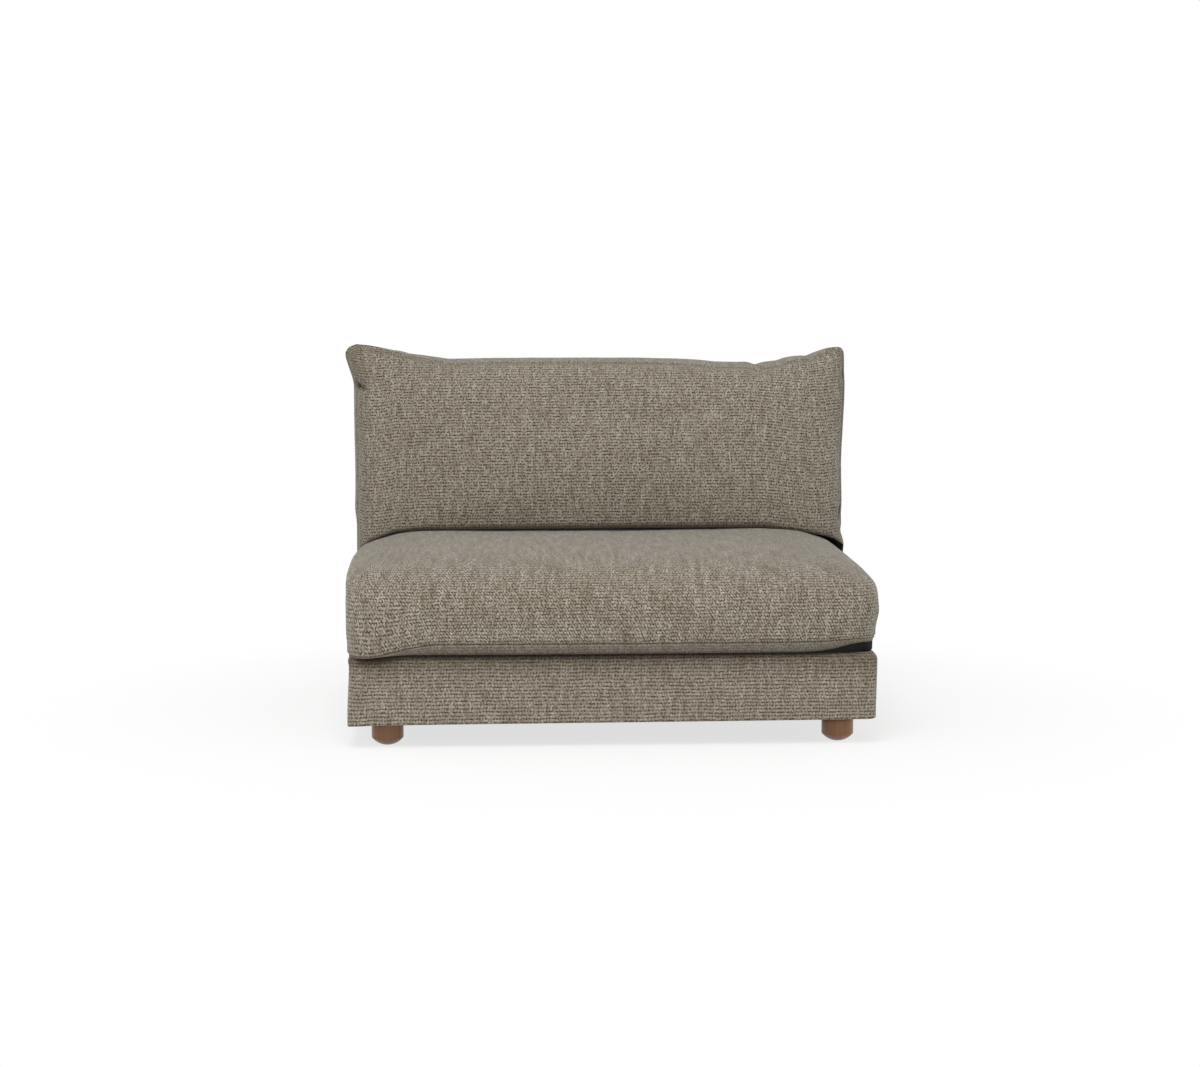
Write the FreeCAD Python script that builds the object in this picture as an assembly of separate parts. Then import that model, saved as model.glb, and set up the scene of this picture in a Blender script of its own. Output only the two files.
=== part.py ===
"""Armless two-seat sofa module: upholstered base on turned feet, bolt-on back unit and loose cushions.

Millimetres. X runs across the seat, -Y is the front and +Z is up. The origin is on the floor, under the
middle of the base.
"""

import FreeCAD, Part
import math
import os

Vector = FreeCAD.Vector

# Overall sizes
base_width = 1150.0
base_depth = 930.0
foot_height = 55.0
base_height = 148.0
back_unit_height = 487.0
back_unit_depth = 135.0
back_rake_deg = 5.3

# Clearances, and the overrun of every cut
touch_gap = 0.3
fit_gap = 0.05
nest_gap = 0.5
overrun = 5.0
flat_enough = 1e-9

# Upholstery layers
cover_skin = 2.0
padding = 6.0
dust_cover_thick = 1.0
deck_cloth_thick = 2.0
deck_pad_thick = 10.0
deck_turn = 20.0
under_turn = 45.0
dust_margin = 12.0
layer_setback = 12.0
base_corner_radius = 22.0
base_edge_radius = 18.0
top_edge_radius = 12.0
base_corner_bevel = 11.5
base_edge_bevel = 10.0
inner_edge_bevel = 6.0

# Base frame
rail_thick = 28.0
cross_rail_height = 60.0
stretcher_size = 45.0
block_leg = 125.0
block_height = 45.0
board_thick = 14.0
tenon_length = 20.0
tenon_height = 70.0
tenon_thick = 12.0

# Elastic webbing
band_width = 70.0
band_thick = 2.0
band_land_margin = 5.0
band_ramp = 20.0
long_band_pitch = 154.0
cross_band_pitch = 190.0
band_end_setback = 6.0
back_upright_pitch = 215.0
back_row_pitch = 129.0

# Feet and their fixings
foot_radius = 35.0
foot_edge_radius = 22.0
foot_edge_steps = 3
foot_inset_x = 80.0
foot_inset_y = 65.0
screw_radius = 4.0
screw_foot_depth = 28.0
screw_block_depth = 32.0
cloth_slit = 12.0

# Back unit frame
back_rail_height = 45.0
post_width = 45.0
back_pad_thick = 15.0
back_board_thick = 3.0
lining_margin = 30.0
lining_top_margin = 42.0
back_floor_margin = 40.0
bolt_radius = 4.0
bolt_head_radius = 7.5
bolt_head_thick = 5.3
bolt_x = 430.0
bolt_setback = 60.0
bolt_end_cover = 8.0

# Swing-latch connectors under the sides
latch_y_places = (-250.0, 250.0)
latch_pivot_inset = 23.0
latch_reach = 50.0
latch_bar_width = 18.0
latch_jaw = 12.0
latch_thick = 3.0
plate_thick = 2.5
plate_half_width = 14.0
plate_tail = 54.0
plate_nose = 14.0
plate_corner_cut = 4.0
pivot_radius = 4.0
pivot_head_radius = 7.0
pivot_head_thick = 2.5
peg_radius = 5.0
peg_length = 10.0
peg_slack = 0.4

# Seat cushion: rings from the deck up to the crown. The shares are of the crown height, and the insets
# are measured in from the widest ring at the sides, front and rear.
seat_side_gap = 2.0
seat_front_bulge = 6.0
seat_rear_gap = 8.0
seat_crown_height = 212.0
seat_front_corner = 60.0
seat_rear_corner = 30.0
seat_side_bow = 6.0
seat_front_bow = 9.0
seat_level_shares = (0.0, 0.04, 0.12, 0.25, 0.42, 0.56, 0.68, 0.78, 0.86, 0.92, 0.965, 0.99, 1.0)
seat_side_insets = (12.0, 5.0, 1.0, 0.0, 0.0, 1.0, 7.0, 17.0, 33.0, 57.0, 92.0, 135.0, 180.0)
seat_front_insets = (22.0, 11.0, 3.0, 0.0, 0.0, 7.0, 25.0, 58.0, 103.0, 170.0, 265.0, 385.0, 520.0)
seat_rear_insets = (8.0, 2.0, 0.0, 0.0, 0.0, 0.0, 1.0, 3.0, 6.0, 11.0, 16.0, 20.0, 22.0)
seat_core_inset = 60.0
seat_core_front_inset = 75.0
seat_core_lift = 30.0
seat_core_drop = 38.0
seat_core_chamfer = 15.0

# Back cushion: rings from the crowned front to the flat rear. Each ring leans back, the front ones most.
# The shares are of the depth; the horn shares say how far the top corners stand out at each ring.
back_cushion_height = 402.0
back_side_bulge = 7.0
back_cushion_depth = 236.0
front_lean_share = 0.215
droop_run = 115.0
droop_fall = 27.0
corner_foot_radius = 24.0
side_pull = 4.0
horn_out_left = 15.0
horn_out_right = 5.0
horn_up = 30.0
horn_drop = 95.0
horn_run = 150.0
horn_tip_radius = 16.0
horn_hollow = 5.0
ring_depth_shares = (0.0, 0.02, 0.06, 0.12, 0.2, 0.28, 0.45, 0.65, 0.86, 0.94, 1.0)
ring_insets = (170.0, 110.0, 62.0, 30.0, 9.0, 0.0, 5.0, 5.0, 0.0, 16.0, 60.0)
ring_horn_shares = (0.1, 0.12, 0.2, 0.4, 0.75, 1.0, 0.55, 0.5, 0.55, 0.3, 0.1)
bottom_inset_share = 0.3
top_inset_share = 0.8
zip_strip_rings = (6, 7)
zip_hollow = 7.0

# Flat facets along each round corner and each shallow bow of a cushion's ring
corner_steps = 4
bow_steps = 4

# Zips on both cushions
seat_zip_height = 72.0
seat_zip_length = 900.0
back_zip_length = 800.0
zip_tape_width = 24.0
zip_tape_thick = 1.0
zip_tooth_width = 5.0
zip_tooth_height = 1.5
slider_length = 14.0
slider_width = 9.0
slider_wall = 1.0
slider_slack = 0.25
pull_length = 22.0
pull_width = 6.0
pull_thick = 1.0
zip_end_margin = 18.0

# Places that follow from the sizes
half_w = base_width / 2
front_y = -base_depth / 2
rear_y = base_depth / 2
base_z0 = foot_height
deck_z = foot_height + base_height
rail_x = half_w - cover_skin - padding
rail_y = rear_y - cover_skin - padding
rail_inner_x = rail_x - rail_thick
rail_inner_y = rail_y - rail_thick
rail_z0 = base_z0 + dust_cover_thick + cover_skin
rail_z1 = deck_z - deck_cloth_thick - deck_pad_thick - 2 * band_thick
web_z1 = rail_z1 + 2 * band_thick
pad_z1 = deck_z - deck_cloth_thick
pad_x = rail_x - layer_setback
pad_y = rail_y - layer_setback
back_front_y = rear_y - back_unit_depth
back_top_z = deck_z + back_unit_height
rake = math.tan(math.radians(back_rake_deg))
board_y0 = back_front_y + padding
foot_x = half_w - foot_inset_x
foot_y = rear_y - foot_inset_y
block_top = rail_z0 + block_height
seat_z0 = deck_z + touch_gap
seat_top = seat_z0 + seat_crown_height
seat_half_width = half_w - seat_side_gap
back_cushion_half_width = half_w + back_side_bulge
latch_pivot_x = half_w - latch_pivot_inset
peg_x = latch_pivot_x + latch_reach - base_width
plate_z0 = base_z0 - plate_thick
latch_z1 = plate_z0 - touch_gap
latch_z0 = latch_z1 - latch_thick

parts = {}


def block(x0, x1, y0, y1, z0, z1):
    """A box between two corners."""
    return Part.makeBox(x1 - x0, y1 - y0, z1 - z0, Vector(x0, y0, z0))


def post(radius, x, y, z0, z1):
    """An upright cylinder."""
    return Part.makeCylinder(radius, z1 - z0, Vector(x, y, z0))


def side_prism(profile, x0, x1):
    """A prism along X whose profile is a list of (y, z) points."""
    points = [Vector(x0, y, z) for y, z in profile]
    face = Part.Face(Part.makePolygon(points + points[:1]))
    return face.extrude(Vector(x1 - x0, 0, 0))


def front_prism(profile, y0, y1):
    """A prism along Y whose profile is a list of (x, z) points."""
    points = [Vector(x, y0, z) for x, z in profile]
    face = Part.Face(Part.makePolygon(points + points[:1]))
    return face.extrude(Vector(0, y1 - y0, 0))


def plan_prism(profile, z0, z1):
    """A prism along Z whose profile is a list of (x, y) points."""
    points = [Vector(x, y, z0) for x, y in profile]
    face = Part.Face(Part.makePolygon(points + points[:1]))
    return face.extrude(Vector(0, 0, z1 - z0))


def hex_bolt(radius, head_radius, head_thick, x, y, z0, z1):
    """A hexagon-headed bolt whose shank points up from z0 to z1."""
    turns = [math.pi / 3 * i for i in range(6)]
    head = [(x + head_radius * math.cos(turn), y + head_radius * math.sin(turn)) for turn in turns]
    return post(radius, x, y, z0, z1).fuse(plan_prism(head, z0 - head_thick, z0))


def drill(shape, holes):
    """The shape less every hole."""
    for hole in holes:
        shape = shape.cut(hole)
    return shape


def keep(name, *solids):
    """Files one or more solids under a node's name."""
    parts[name] = solids[0] if len(solids) == 1 else Part.makeCompound(list(solids))


def corners(x, y):
    """The four sign combinations of a symmetric place."""
    return [(side * x, end * y) for side in (-1, 1) for end in (-1, 1)]


def upright_edges(shape):
    """The edges that stand along Z."""
    return [e for e in shape.Edges if abs(e.tangentAt(e.FirstParameter).z) > math.sqrt(0.5)]


def softened(shape, z_top, corner, edge):
    """A box whose corners and top edges are rounded over."""
    shape = shape.makeFillet(corner, upright_edges(shape))
    return shape.makeFillet(edge, [e for e in shape.Edges if e.BoundBox.ZMin > z_top - touch_gap])


def bevelled(shape, z_top, corner, edge):
    """The same box with flat bevels, for the inside of a cover, which nobody sees."""
    shape = shape.makeChamfer(corner, upright_edges(shape))
    return shape.makeChamfer(edge, [e for e in shape.Edges if e.BoundBox.ZMin > z_top - touch_gap])


# Base frame

def tenon(side, end, grow):
    """A side rail's tenon into the front or rear rail."""
    x = side * (rail_x - rail_thick / 2)
    y0, y1 = sorted((end * rail_inner_y, end * (rail_inner_y + tenon_length + grow)))
    z = (rail_z0 + rail_z1) / 2
    half_x = tenon_thick / 2 + grow
    half_z = tenon_height / 2 + grow
    return block(x - half_x, x + half_x, y0, y1, z - half_z, z + half_z)


def base_frame():
    """Four rails, the rail that carries the webbing's rear ends, a low stretcher and the glue blocks."""
    front = block(-rail_x, rail_x, -rail_y, -rail_inner_y, rail_z0, rail_z1)
    rear = block(-rail_x, rail_x, rail_inner_y, rail_y, rail_z0, rail_z1)
    keep("front_rail", drill(front, [tenon(side, -1, fit_gap) for side in (-1, 1)]))
    keep("rear_rail", drill(rear, [tenon(side, 1, fit_gap) for side in (-1, 1)]))
    for name, side in (("left_side_rail", -1), ("right_side_rail", 1)):
        x0, x1 = sorted((side * rail_inner_x, side * rail_x))
        rail = block(x0, x1, -rail_inner_y, rail_inner_y, rail_z0, rail_z1)
        keep(name, rail.fuse([tenon(side, end, 0) for end in (-1, 1)]).removeSplitter())
    cross_y1 = board_y0 + rail_thick
    cross_z0 = rail_z1 - cross_rail_height
    keep("webbing_rail", block(-rail_inner_x, rail_inner_x, board_y0, cross_y1, cross_z0, rail_z1))
    half = stretcher_size / 2
    stretcher_z1 = rail_z0 + stretcher_size
    keep("centre_stretcher", block(-half, half, -rail_inner_y, rail_inner_y, rail_z0, stretcher_z1))
    blocks = []
    for side, end in corners(1, 1):
        x, y = side * rail_inner_x, end * rail_inner_y
        outline = [(x, y), (x - side * block_leg, y), (x, y - end * block_leg)]
        glue_block = plan_prism(outline, rail_z0, block_top)
        blocks.append(glue_block.cut(screw_hole(side * foot_x, end * foot_y)))
    keep("corner_blocks", *blocks)


def screw_hole(x, y):
    """The hole of a foot's double-ended screw, through the foot's top and up into the glue block."""
    z0 = foot_height - screw_foot_depth - touch_gap
    return post(screw_radius + fit_gap, x, y, z0, rail_z0 + screw_block_depth + touch_gap)


def bolt_places():
    """The back unit's bolts, left, middle and right."""
    return [(x, rear_y - bolt_setback) for x in (-bolt_x, 0, bolt_x)]


def back_board():
    """Plywood deck behind the seat, which the back unit is bolted to."""
    board = block(-pad_x, pad_x, board_y0, pad_y, pad_z1 - board_thick, pad_z1)
    holes = [post(bolt_radius + fit_gap, x, y, rail_z1 - overrun, deck_z) for x, y in bolt_places()]
    keep("back_mounting_board", drill(board, holes))


# Elastic webbing, woven one over, one under

def band_places(pitch, start, end):
    """The centres of evenly spaced bands, as near to a pitch as whole bands allow."""
    count = max(1, round((end - start) / pitch))
    step = (end - start) / count
    return [start + step * (i + 0.5) for i in range(count)]


def woven_profile(start, end, crossings, over_first):
    """Outline of one band seen from its edge: low on the rails, over or under each band that it meets."""
    land = band_width / 2 + band_land_margin
    line = [(start, rail_z1)]
    for i, place in enumerate(crossings):
        if (i % 2 == 0) != over_first:
            continue
        before, after = place - land, place + land
        line += [(before - band_ramp, rail_z1), (before, rail_z1 + band_thick)]
        line += [(after, rail_z1 + band_thick), (after + band_ramp, rail_z1)]
    line.append((end, rail_z1))
    return line + [(s, z + band_thick) for s, z in reversed(line)]


def seat_webbing():
    """Bands front to back and side to side, stapled on the rails."""
    rear_end = board_y0 - touch_gap
    xs = band_places(long_band_pitch, -rail_inner_x, rail_inner_x)
    ys = band_places(cross_band_pitch, -rail_inner_y, board_y0)
    start_y = -rail_y + band_end_setback
    start_x = -rail_x + band_end_setback
    half = band_width / 2
    lengthwise = []
    for i, x in enumerate(xs):
        profile = woven_profile(start_y, rear_end, ys, i % 2 == 0)
        lengthwise.append(side_prism(profile, x - half, x + half))
    keep("seat_webbing_lengthwise", *lengthwise)
    crosswise = []
    for i, y in enumerate(ys):
        profile = woven_profile(start_x, -start_x, xs, i % 2 == 1)
        crosswise.append(front_prism(profile, y - half, y + half))
    keep("seat_webbing_crosswise", *crosswise)


# Upholstery of the base

def base_body(inset):
    """The padded base's plain box, drawn in by inset."""
    z0 = base_z0 + dust_cover_thick + inset
    return block(-half_w + inset, half_w - inset, front_y + inset, rear_y - inset, z0, deck_z - inset)


def base_upholstery():
    """Wadding round the rails, the face fabric over it, the deck and the dust cover."""
    cavity = bevelled(base_body(cover_skin), deck_z - cover_skin, base_corner_bevel, base_edge_bevel)
    rails = block(-rail_x, rail_x, -rail_y, rail_y, base_z0 - overrun, web_z1)
    layers = block(-pad_x, pad_x, -pad_y, pad_y, base_z0, deck_z + overrun)
    keep("rail_padding", cavity.cut(rails).cut(layers))
    window_x = half_w - deck_turn
    window_y = front_y + deck_turn
    under_x = half_w - under_turn
    under_y = rear_y - under_turn
    window = block(-window_x, window_x, window_y, back_front_y, pad_z1 - overrun, deck_z + overrun)
    under = block(-under_x, under_x, -under_y, under_y, base_z0, rail_z0 + overrun)
    cover = softened(base_body(0), deck_z, base_corner_radius, base_edge_radius)
    cover = cover.cut(cavity).cut(window).cut(under)
    keep("base_cover", drill(cover, [slit(x, y, pad_z1, deck_z) for x, y in bolt_places()]))
    keep("deck_pad", block(-pad_x, pad_x, -pad_y, board_y0, web_z1, pad_z1))
    keep("deck_cloth", block(-window_x, window_x, window_y, back_front_y, pad_z1, deck_z))
    sheet_x = half_w - dust_margin
    sheet_y = rear_y - dust_margin
    sheet_z1 = base_z0 + dust_cover_thick
    sheet = block(-sheet_x, sheet_x, -sheet_y, sheet_y, base_z0, sheet_z1)
    keep("dust_cover", drill(sheet, [slit(x, y, base_z0, sheet_z1) for x, y in corners(foot_x, foot_y)]))


def slit(x, y, z0, z1):
    """The square that a cross cut opens in cloth round a bolt."""
    half = cloth_slit / 2
    return block(x - half, x + half, y - half, y + half, z0 - overrun, z1 + overrun)


# Feet

def turned_foot(x, y):
    """A straight turned foot whose lower edge is rounded over in steps, with the hole for its screw."""
    flat = foot_radius - foot_edge_radius
    line = [(0, 0)]
    for step in range(foot_edge_steps + 1):
        turn = math.pi / 2 * step / foot_edge_steps
        line.append((flat + foot_edge_radius * math.sin(turn), foot_edge_radius * (1 - math.cos(turn))))
    line += [(foot_radius, foot_height), (0, foot_height)]
    points = [Vector(r, 0, z) for r, z in line]
    face = Part.Face(Part.makePolygon(points + points[:1]))
    solid = face.revolve(Vector(0, 0, 0), Vector(0, 0, 1), 360)
    solid.translate(Vector(x, y, 0))
    return solid.cut(screw_hole(x, y))


def feet():
    """Four feet, each held by a double-ended wood screw that runs up into its glue block."""
    keep("front_feet", *[turned_foot(side * foot_x, -foot_y) for side in (-1, 1)])
    keep("rear_feet", *[turned_foot(side * foot_x, foot_y) for side in (-1, 1)])
    z0, z1 = foot_height - screw_foot_depth, rail_z0 + screw_block_depth
    keep("foot_screws", *[post(screw_radius, x, y, z0, z1) for x, y in corners(foot_x, foot_y)])


# Back unit

def front_at(z):
    """Y of the back unit's leaning front face at a height."""
    return back_front_y + (z - deck_z) * rake


def leaning_slab(x0, x1, z0, z1, depth0, depth1):
    """A slab that follows the leaning front face, between two depths behind it."""
    profile = [
        (front_at(z0) + depth0, z0),
        (front_at(z0) + depth1, z0),
        (front_at(z1) + depth1, z1),
        (front_at(z1) + depth0, z1),
    ]
    return side_prism(profile, x0, x1)


def tapered(x0, x1, z0, z1, depth, rear):
    """A timber that leans at the front and is upright at the rear."""
    profile = [(front_at(z0) + depth, z0), (rear, z0), (rear, z1), (front_at(z1) + depth, z1)]
    return side_prism(profile, x0, x1)


def back_form(inset):
    """The back unit's plain outline, leaning at the front, drawn in by inset."""
    x = half_w - inset
    return tapered(-x, x, deck_z + inset, back_top_z - inset, inset, rear_y - inset)


def back_unit():
    """Timber ladder frame, webbing, padding, rear board, face fabric and the lining behind the cushion."""
    pad_back = cover_skin + back_pad_thick
    rail_depth = pad_back + band_thick
    post_depth = rail_depth + band_thick
    board_y = rear_y - cover_skin - back_board_thick
    z0 = deck_z + cover_skin
    top_z = back_top_z - cover_skin - padding
    low_z1 = z0 + back_rail_height
    high_z0 = top_z - back_rail_height
    bolt_z1 = low_z1 - bolt_end_cover
    hole_z1 = bolt_z1 + touch_gap
    holes = [post(bolt_radius + fit_gap, x, y, z0 - overrun, hole_z1) for x, y in bolt_places()]
    keep("back_lower_rail", drill(tapered(-rail_x, rail_x, z0, low_z1, rail_depth, board_y), holes))
    keep("back_top_rail", tapered(-rail_x, rail_x, high_z0, top_z, rail_depth, board_y))
    places = (("left", -rail_x), ("middle", -post_width / 2), ("right", rail_x - post_width))
    for name, x in places:
        keep("back_post_" + name, tapered(x, x + post_width, low_z1, high_z0, post_depth, board_y))
    half = band_width / 2
    limit = rail_x - band_end_setback
    slab_z1 = top_z - padding
    uprights = []
    for x in band_places(back_upright_pitch, -rail_inner_x, rail_inner_x):
        uprights.append(leaning_slab(x - half, x + half, z0 + padding, slab_z1, pad_back, rail_depth))
    keep("back_webbing_uprights", *uprights)
    rows = []
    for z in band_places(back_row_pitch, low_z1, high_z0):
        rows.append(leaning_slab(-limit, limit, z - half, z + half, rail_depth, post_depth))
    keep("back_webbing_rows", *rows)
    keep("back_foam_pad", leaning_slab(-pad_x, pad_x, z0, slab_z1, cover_skin, pad_back))
    keep("outside_back_board", block(-pad_x, pad_x, board_y, rear_y - cover_skin, z0, slab_z1))
    cavity = bevelled(back_form(cover_skin), back_top_z - cover_skin, inner_edge_bevel, inner_edge_bevel)
    inner = tapered(-rail_x, rail_x, deck_z, top_z, rail_depth, board_y)
    slabs = tapered(-pad_x, pad_x, deck_z, slab_z1, 0, rear_y)
    keep("back_padding", cavity.cut(inner).cut(slabs))
    lining_x = half_w - lining_margin
    lining_z1 = back_top_z - lining_top_margin
    window = leaning_slab(-lining_x, lining_x, z0, lining_z1, -overrun, pad_back)
    floor_x = half_w - back_floor_margin
    floor_y0, floor_y1 = back_front_y + back_floor_margin, rear_y - back_floor_margin
    floor = block(-floor_x, floor_x, floor_y0, floor_y1, deck_z - overrun, z0 + overrun)
    cover = softened(back_form(0), back_top_z, top_edge_radius, top_edge_radius)
    keep("back_cover", cover.cut(cavity).cut(window).cut(floor))
    keep("inside_back_lining", leaning_slab(-lining_x, lining_x, z0, lining_z1, 0, cover_skin))
    head_z1 = pad_z1 - board_thick
    bolts = []
    for x, y in bolt_places():
        bolts.append(hex_bolt(bolt_radius, bolt_head_radius, bolt_head_thick, x, y, head_z1, bolt_z1))
    keep("back_bolts", *bolts)


# Swing-latch connectors

def connector_plate(x, y):
    """A plate with clipped corners, whose tail runs back from its pivot or peg."""
    x0, x1 = x - plate_half_width, x + plate_half_width
    plate = block(x0, x1, y - plate_nose, y + plate_tail, plate_z0, base_z0)
    return plate.makeChamfer(plate_corner_cut, upright_edges(plate))


def latch_hook(x, y):
    """A flat steel hook stored along the rail: an eye on the pivot, a bar, and a jaw open to the outside."""
    jaw_y = y - latch_reach
    half = latch_bar_width / 2
    notch = peg_radius + peg_slack
    z0, z1 = latch_z0 - overrun, latch_z1 + overrun
    jaw = block(x - latch_jaw, x + latch_jaw, jaw_y - latch_jaw, jaw_y + latch_jaw, latch_z0, latch_z1)
    bar = block(x - half, x + half, jaw_y, y + half, latch_z0, latch_z1)
    bar = bar.makeChamfer(plate_corner_cut, upright_edges(bar))
    hook = jaw.makeChamfer(plate_corner_cut, upright_edges(jaw)).fuse(bar).removeSplitter()
    swept = post(latch_reach + notch, x, y, z0, z1).cut(post(latch_reach - notch, x, y, z0, z1))
    reach = latch_jaw + overrun
    mouth = swept.common(block(x, x + reach, jaw_y - reach, jaw_y + reach, z0, z1))
    bore = post(pivot_radius + fit_gap, x, y, z0, z1)
    return drill(hook, [post(notch, x, jaw_y, z0, z1), mouth, bore])


def connectors():
    """Latch plates and swinging hooks on the right, pegs for a neighbour's hooks on the left."""
    latch_plates = []
    pivots = []
    peg_plates = []
    for name, y in zip(("latch_hook_front", "latch_hook_rear"), latch_y_places):
        x = latch_pivot_x
        bore = post(pivot_radius + fit_gap, x, y, plate_z0 - overrun, base_z0 + overrun)
        latch_plates.append(connector_plate(x, y).cut(bore))
        z0 = latch_z0 - touch_gap
        pivots.append(hex_bolt(pivot_radius, pivot_head_radius, pivot_head_thick, x, y, z0, base_z0))
        keep(name, latch_hook(x, y))
        peg = post(peg_radius, peg_x, y, plate_z0 - peg_length, plate_z0)
        peg_plates.append(connector_plate(peg_x, y).fuse(peg))
    keep("latch_plates", *latch_plates)
    keep("latch_pivot_bolts", *pivots)
    keep("peg_plates", *peg_plates)


# Cushions: rings of short runs, with flat facets from one ring to the next

def curved(p, q, bow, steps):
    """Points from p towards q, without q, along an arc that stands off the chord by bow to its right."""
    if bow == 0:
        return [p]
    dx, dy = q[0] - p[0], q[1] - p[1]
    chord = math.hypot(dx, dy)
    half_turn = 2 * math.atan(2 * bow / chord)
    radius = chord / 2 / math.sin(half_turn)
    points = []
    for step in range(steps):
        turn = half_turn * (2 * step / steps - 1)
        along = (math.sin(turn) + math.sin(half_turn)) * radius / chord
        off = (math.cos(turn) - math.cos(half_turn)) * radius / chord
        points.append((p[0] + along * dx + off * dy, p[1] + along * dy - off * dx))
    return points


def ring(outline):
    """The points of a closed ring, from (point, bow to the next point, steps of that bow)."""
    points = []
    for i, (p, bow, steps) in enumerate(outline):
        points += curved(p, outline[(i + 1) % len(outline)][0], bow, steps)
    return points


def facets(corners4):
    """One flat face through four corners, or two triangles where they don't lie in a plane."""
    a, b, c, d = corners4
    twist = (b - a).cross(c - a).dot(d - a) / ((c - a).Length * (d - b).Length)
    groups = [(a, b, c, d)] if abs(twist) < flat_enough else [(a, b, c), (a, c, d)]
    return [Part.Face(Part.makePolygon(list(g) + [g[0]])) for g in groups]


def skinned(rings):
    """A solid through rings of as many points each, capped at both ends."""
    faces = [Part.Face(Part.makePolygon(r + r[:1])) for r in (rings[0], rings[-1])]
    for near, far in zip(rings, rings[1:]):
        for i in range(len(near)):
            j = (i + 1) % len(near)
            faces += facets((near[i], near[j], far[j], far[i]))
    shell = Part.makeShell(faces)
    shell.sewShape()
    return Part.makeSolid(shell)


def quarter(radius):
    """The bow of a quarter circle."""
    return radius * (1 - math.sqrt(0.5))


def inward(insets, levels, i):
    """Inward normal of a cushion's outline at ring i, as (along the inset, along the level)."""
    a, b = max(i - 1, 0), min(i + 1, len(insets) - 1)
    d_in, d_up = insets[b] - insets[a], levels[b] - levels[a]
    length = math.hypot(d_in, d_up)
    return d_up / length, -d_in / length


def shift(insets, levels, i, skin):
    """How far ring i moves along the levels when the form is drawn in by skin."""
    if i == 0:
        return skin
    if i == len(insets) - 1:
        return -skin
    return skin * inward(insets, levels, i)[1]


def drawn_in(insets, levels, i, skin, moved):
    """Ring i's inset when the form is drawn in by skin and the ring has moved along the levels."""
    n_in, n_up = inward(insets, levels, i)
    return insets[i] + max(0.0, skin - abs(moved * n_up)) / n_in


def seat_body(skin):
    """The seat cushion's form, drawn in by skin: flat below, bulging in front, with a long crown."""
    levels = [share * seat_crown_height for share in seat_level_shares]
    front = front_y - seat_front_bulge
    rear = back_front_y - seat_rear_gap
    rf = seat_front_corner - skin
    rr = seat_rear_corner - skin
    rings = []
    for i, level in enumerate(levels):
        rise = shift(seat_side_insets, levels, i, skin)
        half = seat_half_width - drawn_in(seat_side_insets, levels, i, skin, rise)
        near = front + drawn_in(seat_front_insets, levels, i, skin, rise)
        far = rear - drawn_in(seat_rear_insets, levels, i, skin, rise)
        outline = [
            ((-half + rf, near), seat_front_bow, bow_steps),
            ((half - rf, near), quarter(rf), corner_steps),
            ((half, near + rf), seat_side_bow, bow_steps),
            ((half, far - rr), quarter(rr), corner_steps),
            ((half - rr, far), 0, 1),
            ((-half + rr, far), quarter(rr), corner_steps),
            ((-half, far - rr), seat_side_bow, bow_steps),
            ((-half, near + rf), quarter(rf), corner_steps),
        ]
        rings.append([Vector(x, y, seat_z0 + level + rise) for x, y in ring(outline)])
    return skinned(rings)


def back_ring_plane(share, moved):
    """Where a back cushion ring meets the seat's top, and how fast it leans back."""
    lean = front_lean_share + (rake - front_lean_share) * share
    rear = back_front_y - touch_gap + (seat_top - deck_z) * rake
    return rear - back_cushion_depth * (1 - share) + moved, lean


def back_half_outline(half, low, high, skin, out, horn):
    """Right half of a ring: droops at the foot, pulls in at the side and ends in a horned top corner."""
    foot_r = corner_foot_radius - skin
    tip_r = horn_tip_radius - skin
    tip_x = half + out * horn
    tip_z = high + horn_up * horn
    hollow = -horn_hollow * horn
    return [
        ((half - droop_run, low), 0, 1),
        ((half - foot_r, low - droop_fall), quarter(foot_r), corner_steps),
        ((half, low - droop_fall + foot_r), -side_pull, bow_steps),
        ((half, high - horn_drop), hollow, bow_steps),
        ((tip_x, tip_z - tip_r), quarter(tip_r), corner_steps),
        ((tip_x - tip_r, tip_z), hollow, bow_steps),
        ((half - horn_run, high), 0, 1),
    ]


def back_body(skin):
    """The back cushion's form, drawn in by skin: crowned in front, horned above, with drooping feet."""
    depths = [share * back_cushion_depth for share in ring_depth_shares]
    lows = [inset * bottom_inset_share for inset in ring_insets]
    tops = [inset * top_inset_share for inset in ring_insets]
    z0 = seat_top + touch_gap
    rings = []
    for i, share in enumerate(ring_depth_shares):
        moved = shift(ring_insets, depths, i, skin)
        half = back_cushion_half_width - drawn_in(ring_insets, depths, i, skin, moved)
        low = drawn_in(lows, depths, i, skin, moved) + (zip_hollow if i in zip_strip_rings else 0)
        high = back_cushion_height - drawn_in(tops, depths, i, skin, moved)
        y0, lean = back_ring_plane(share, moved)
        horn = ring_horn_shares[i]
        right = back_half_outline(half, low, high, skin, horn_out_right, horn)
        left = back_half_outline(half, low, high, skin, horn_out_left, horn)[::-1]
        runs = [(bow, steps) for p, bow, steps in left[1:]] + [(0, 1)]
        outline = right + [((-p[0], p[1]), *run) for (p, bow, steps), run in zip(left, runs)]
        rings.append([Vector(x, y0 + lean * z, z0 + z) for x, z in ring(outline)])
    return skinned(rings)


def core_block(grow):
    """The seat's foam block, or the room for it, with bevelled edges."""
    foam = block(
        -seat_half_width + seat_core_inset - grow,
        seat_half_width - seat_core_inset + grow,
        front_y + seat_core_front_inset - grow,
        back_front_y - seat_core_inset + grow,
        seat_z0 + seat_core_lift - grow,
        seat_top - seat_core_drop + grow,
    )
    return foam.makeChamfer(seat_core_chamfer, foam.Edges)


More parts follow.
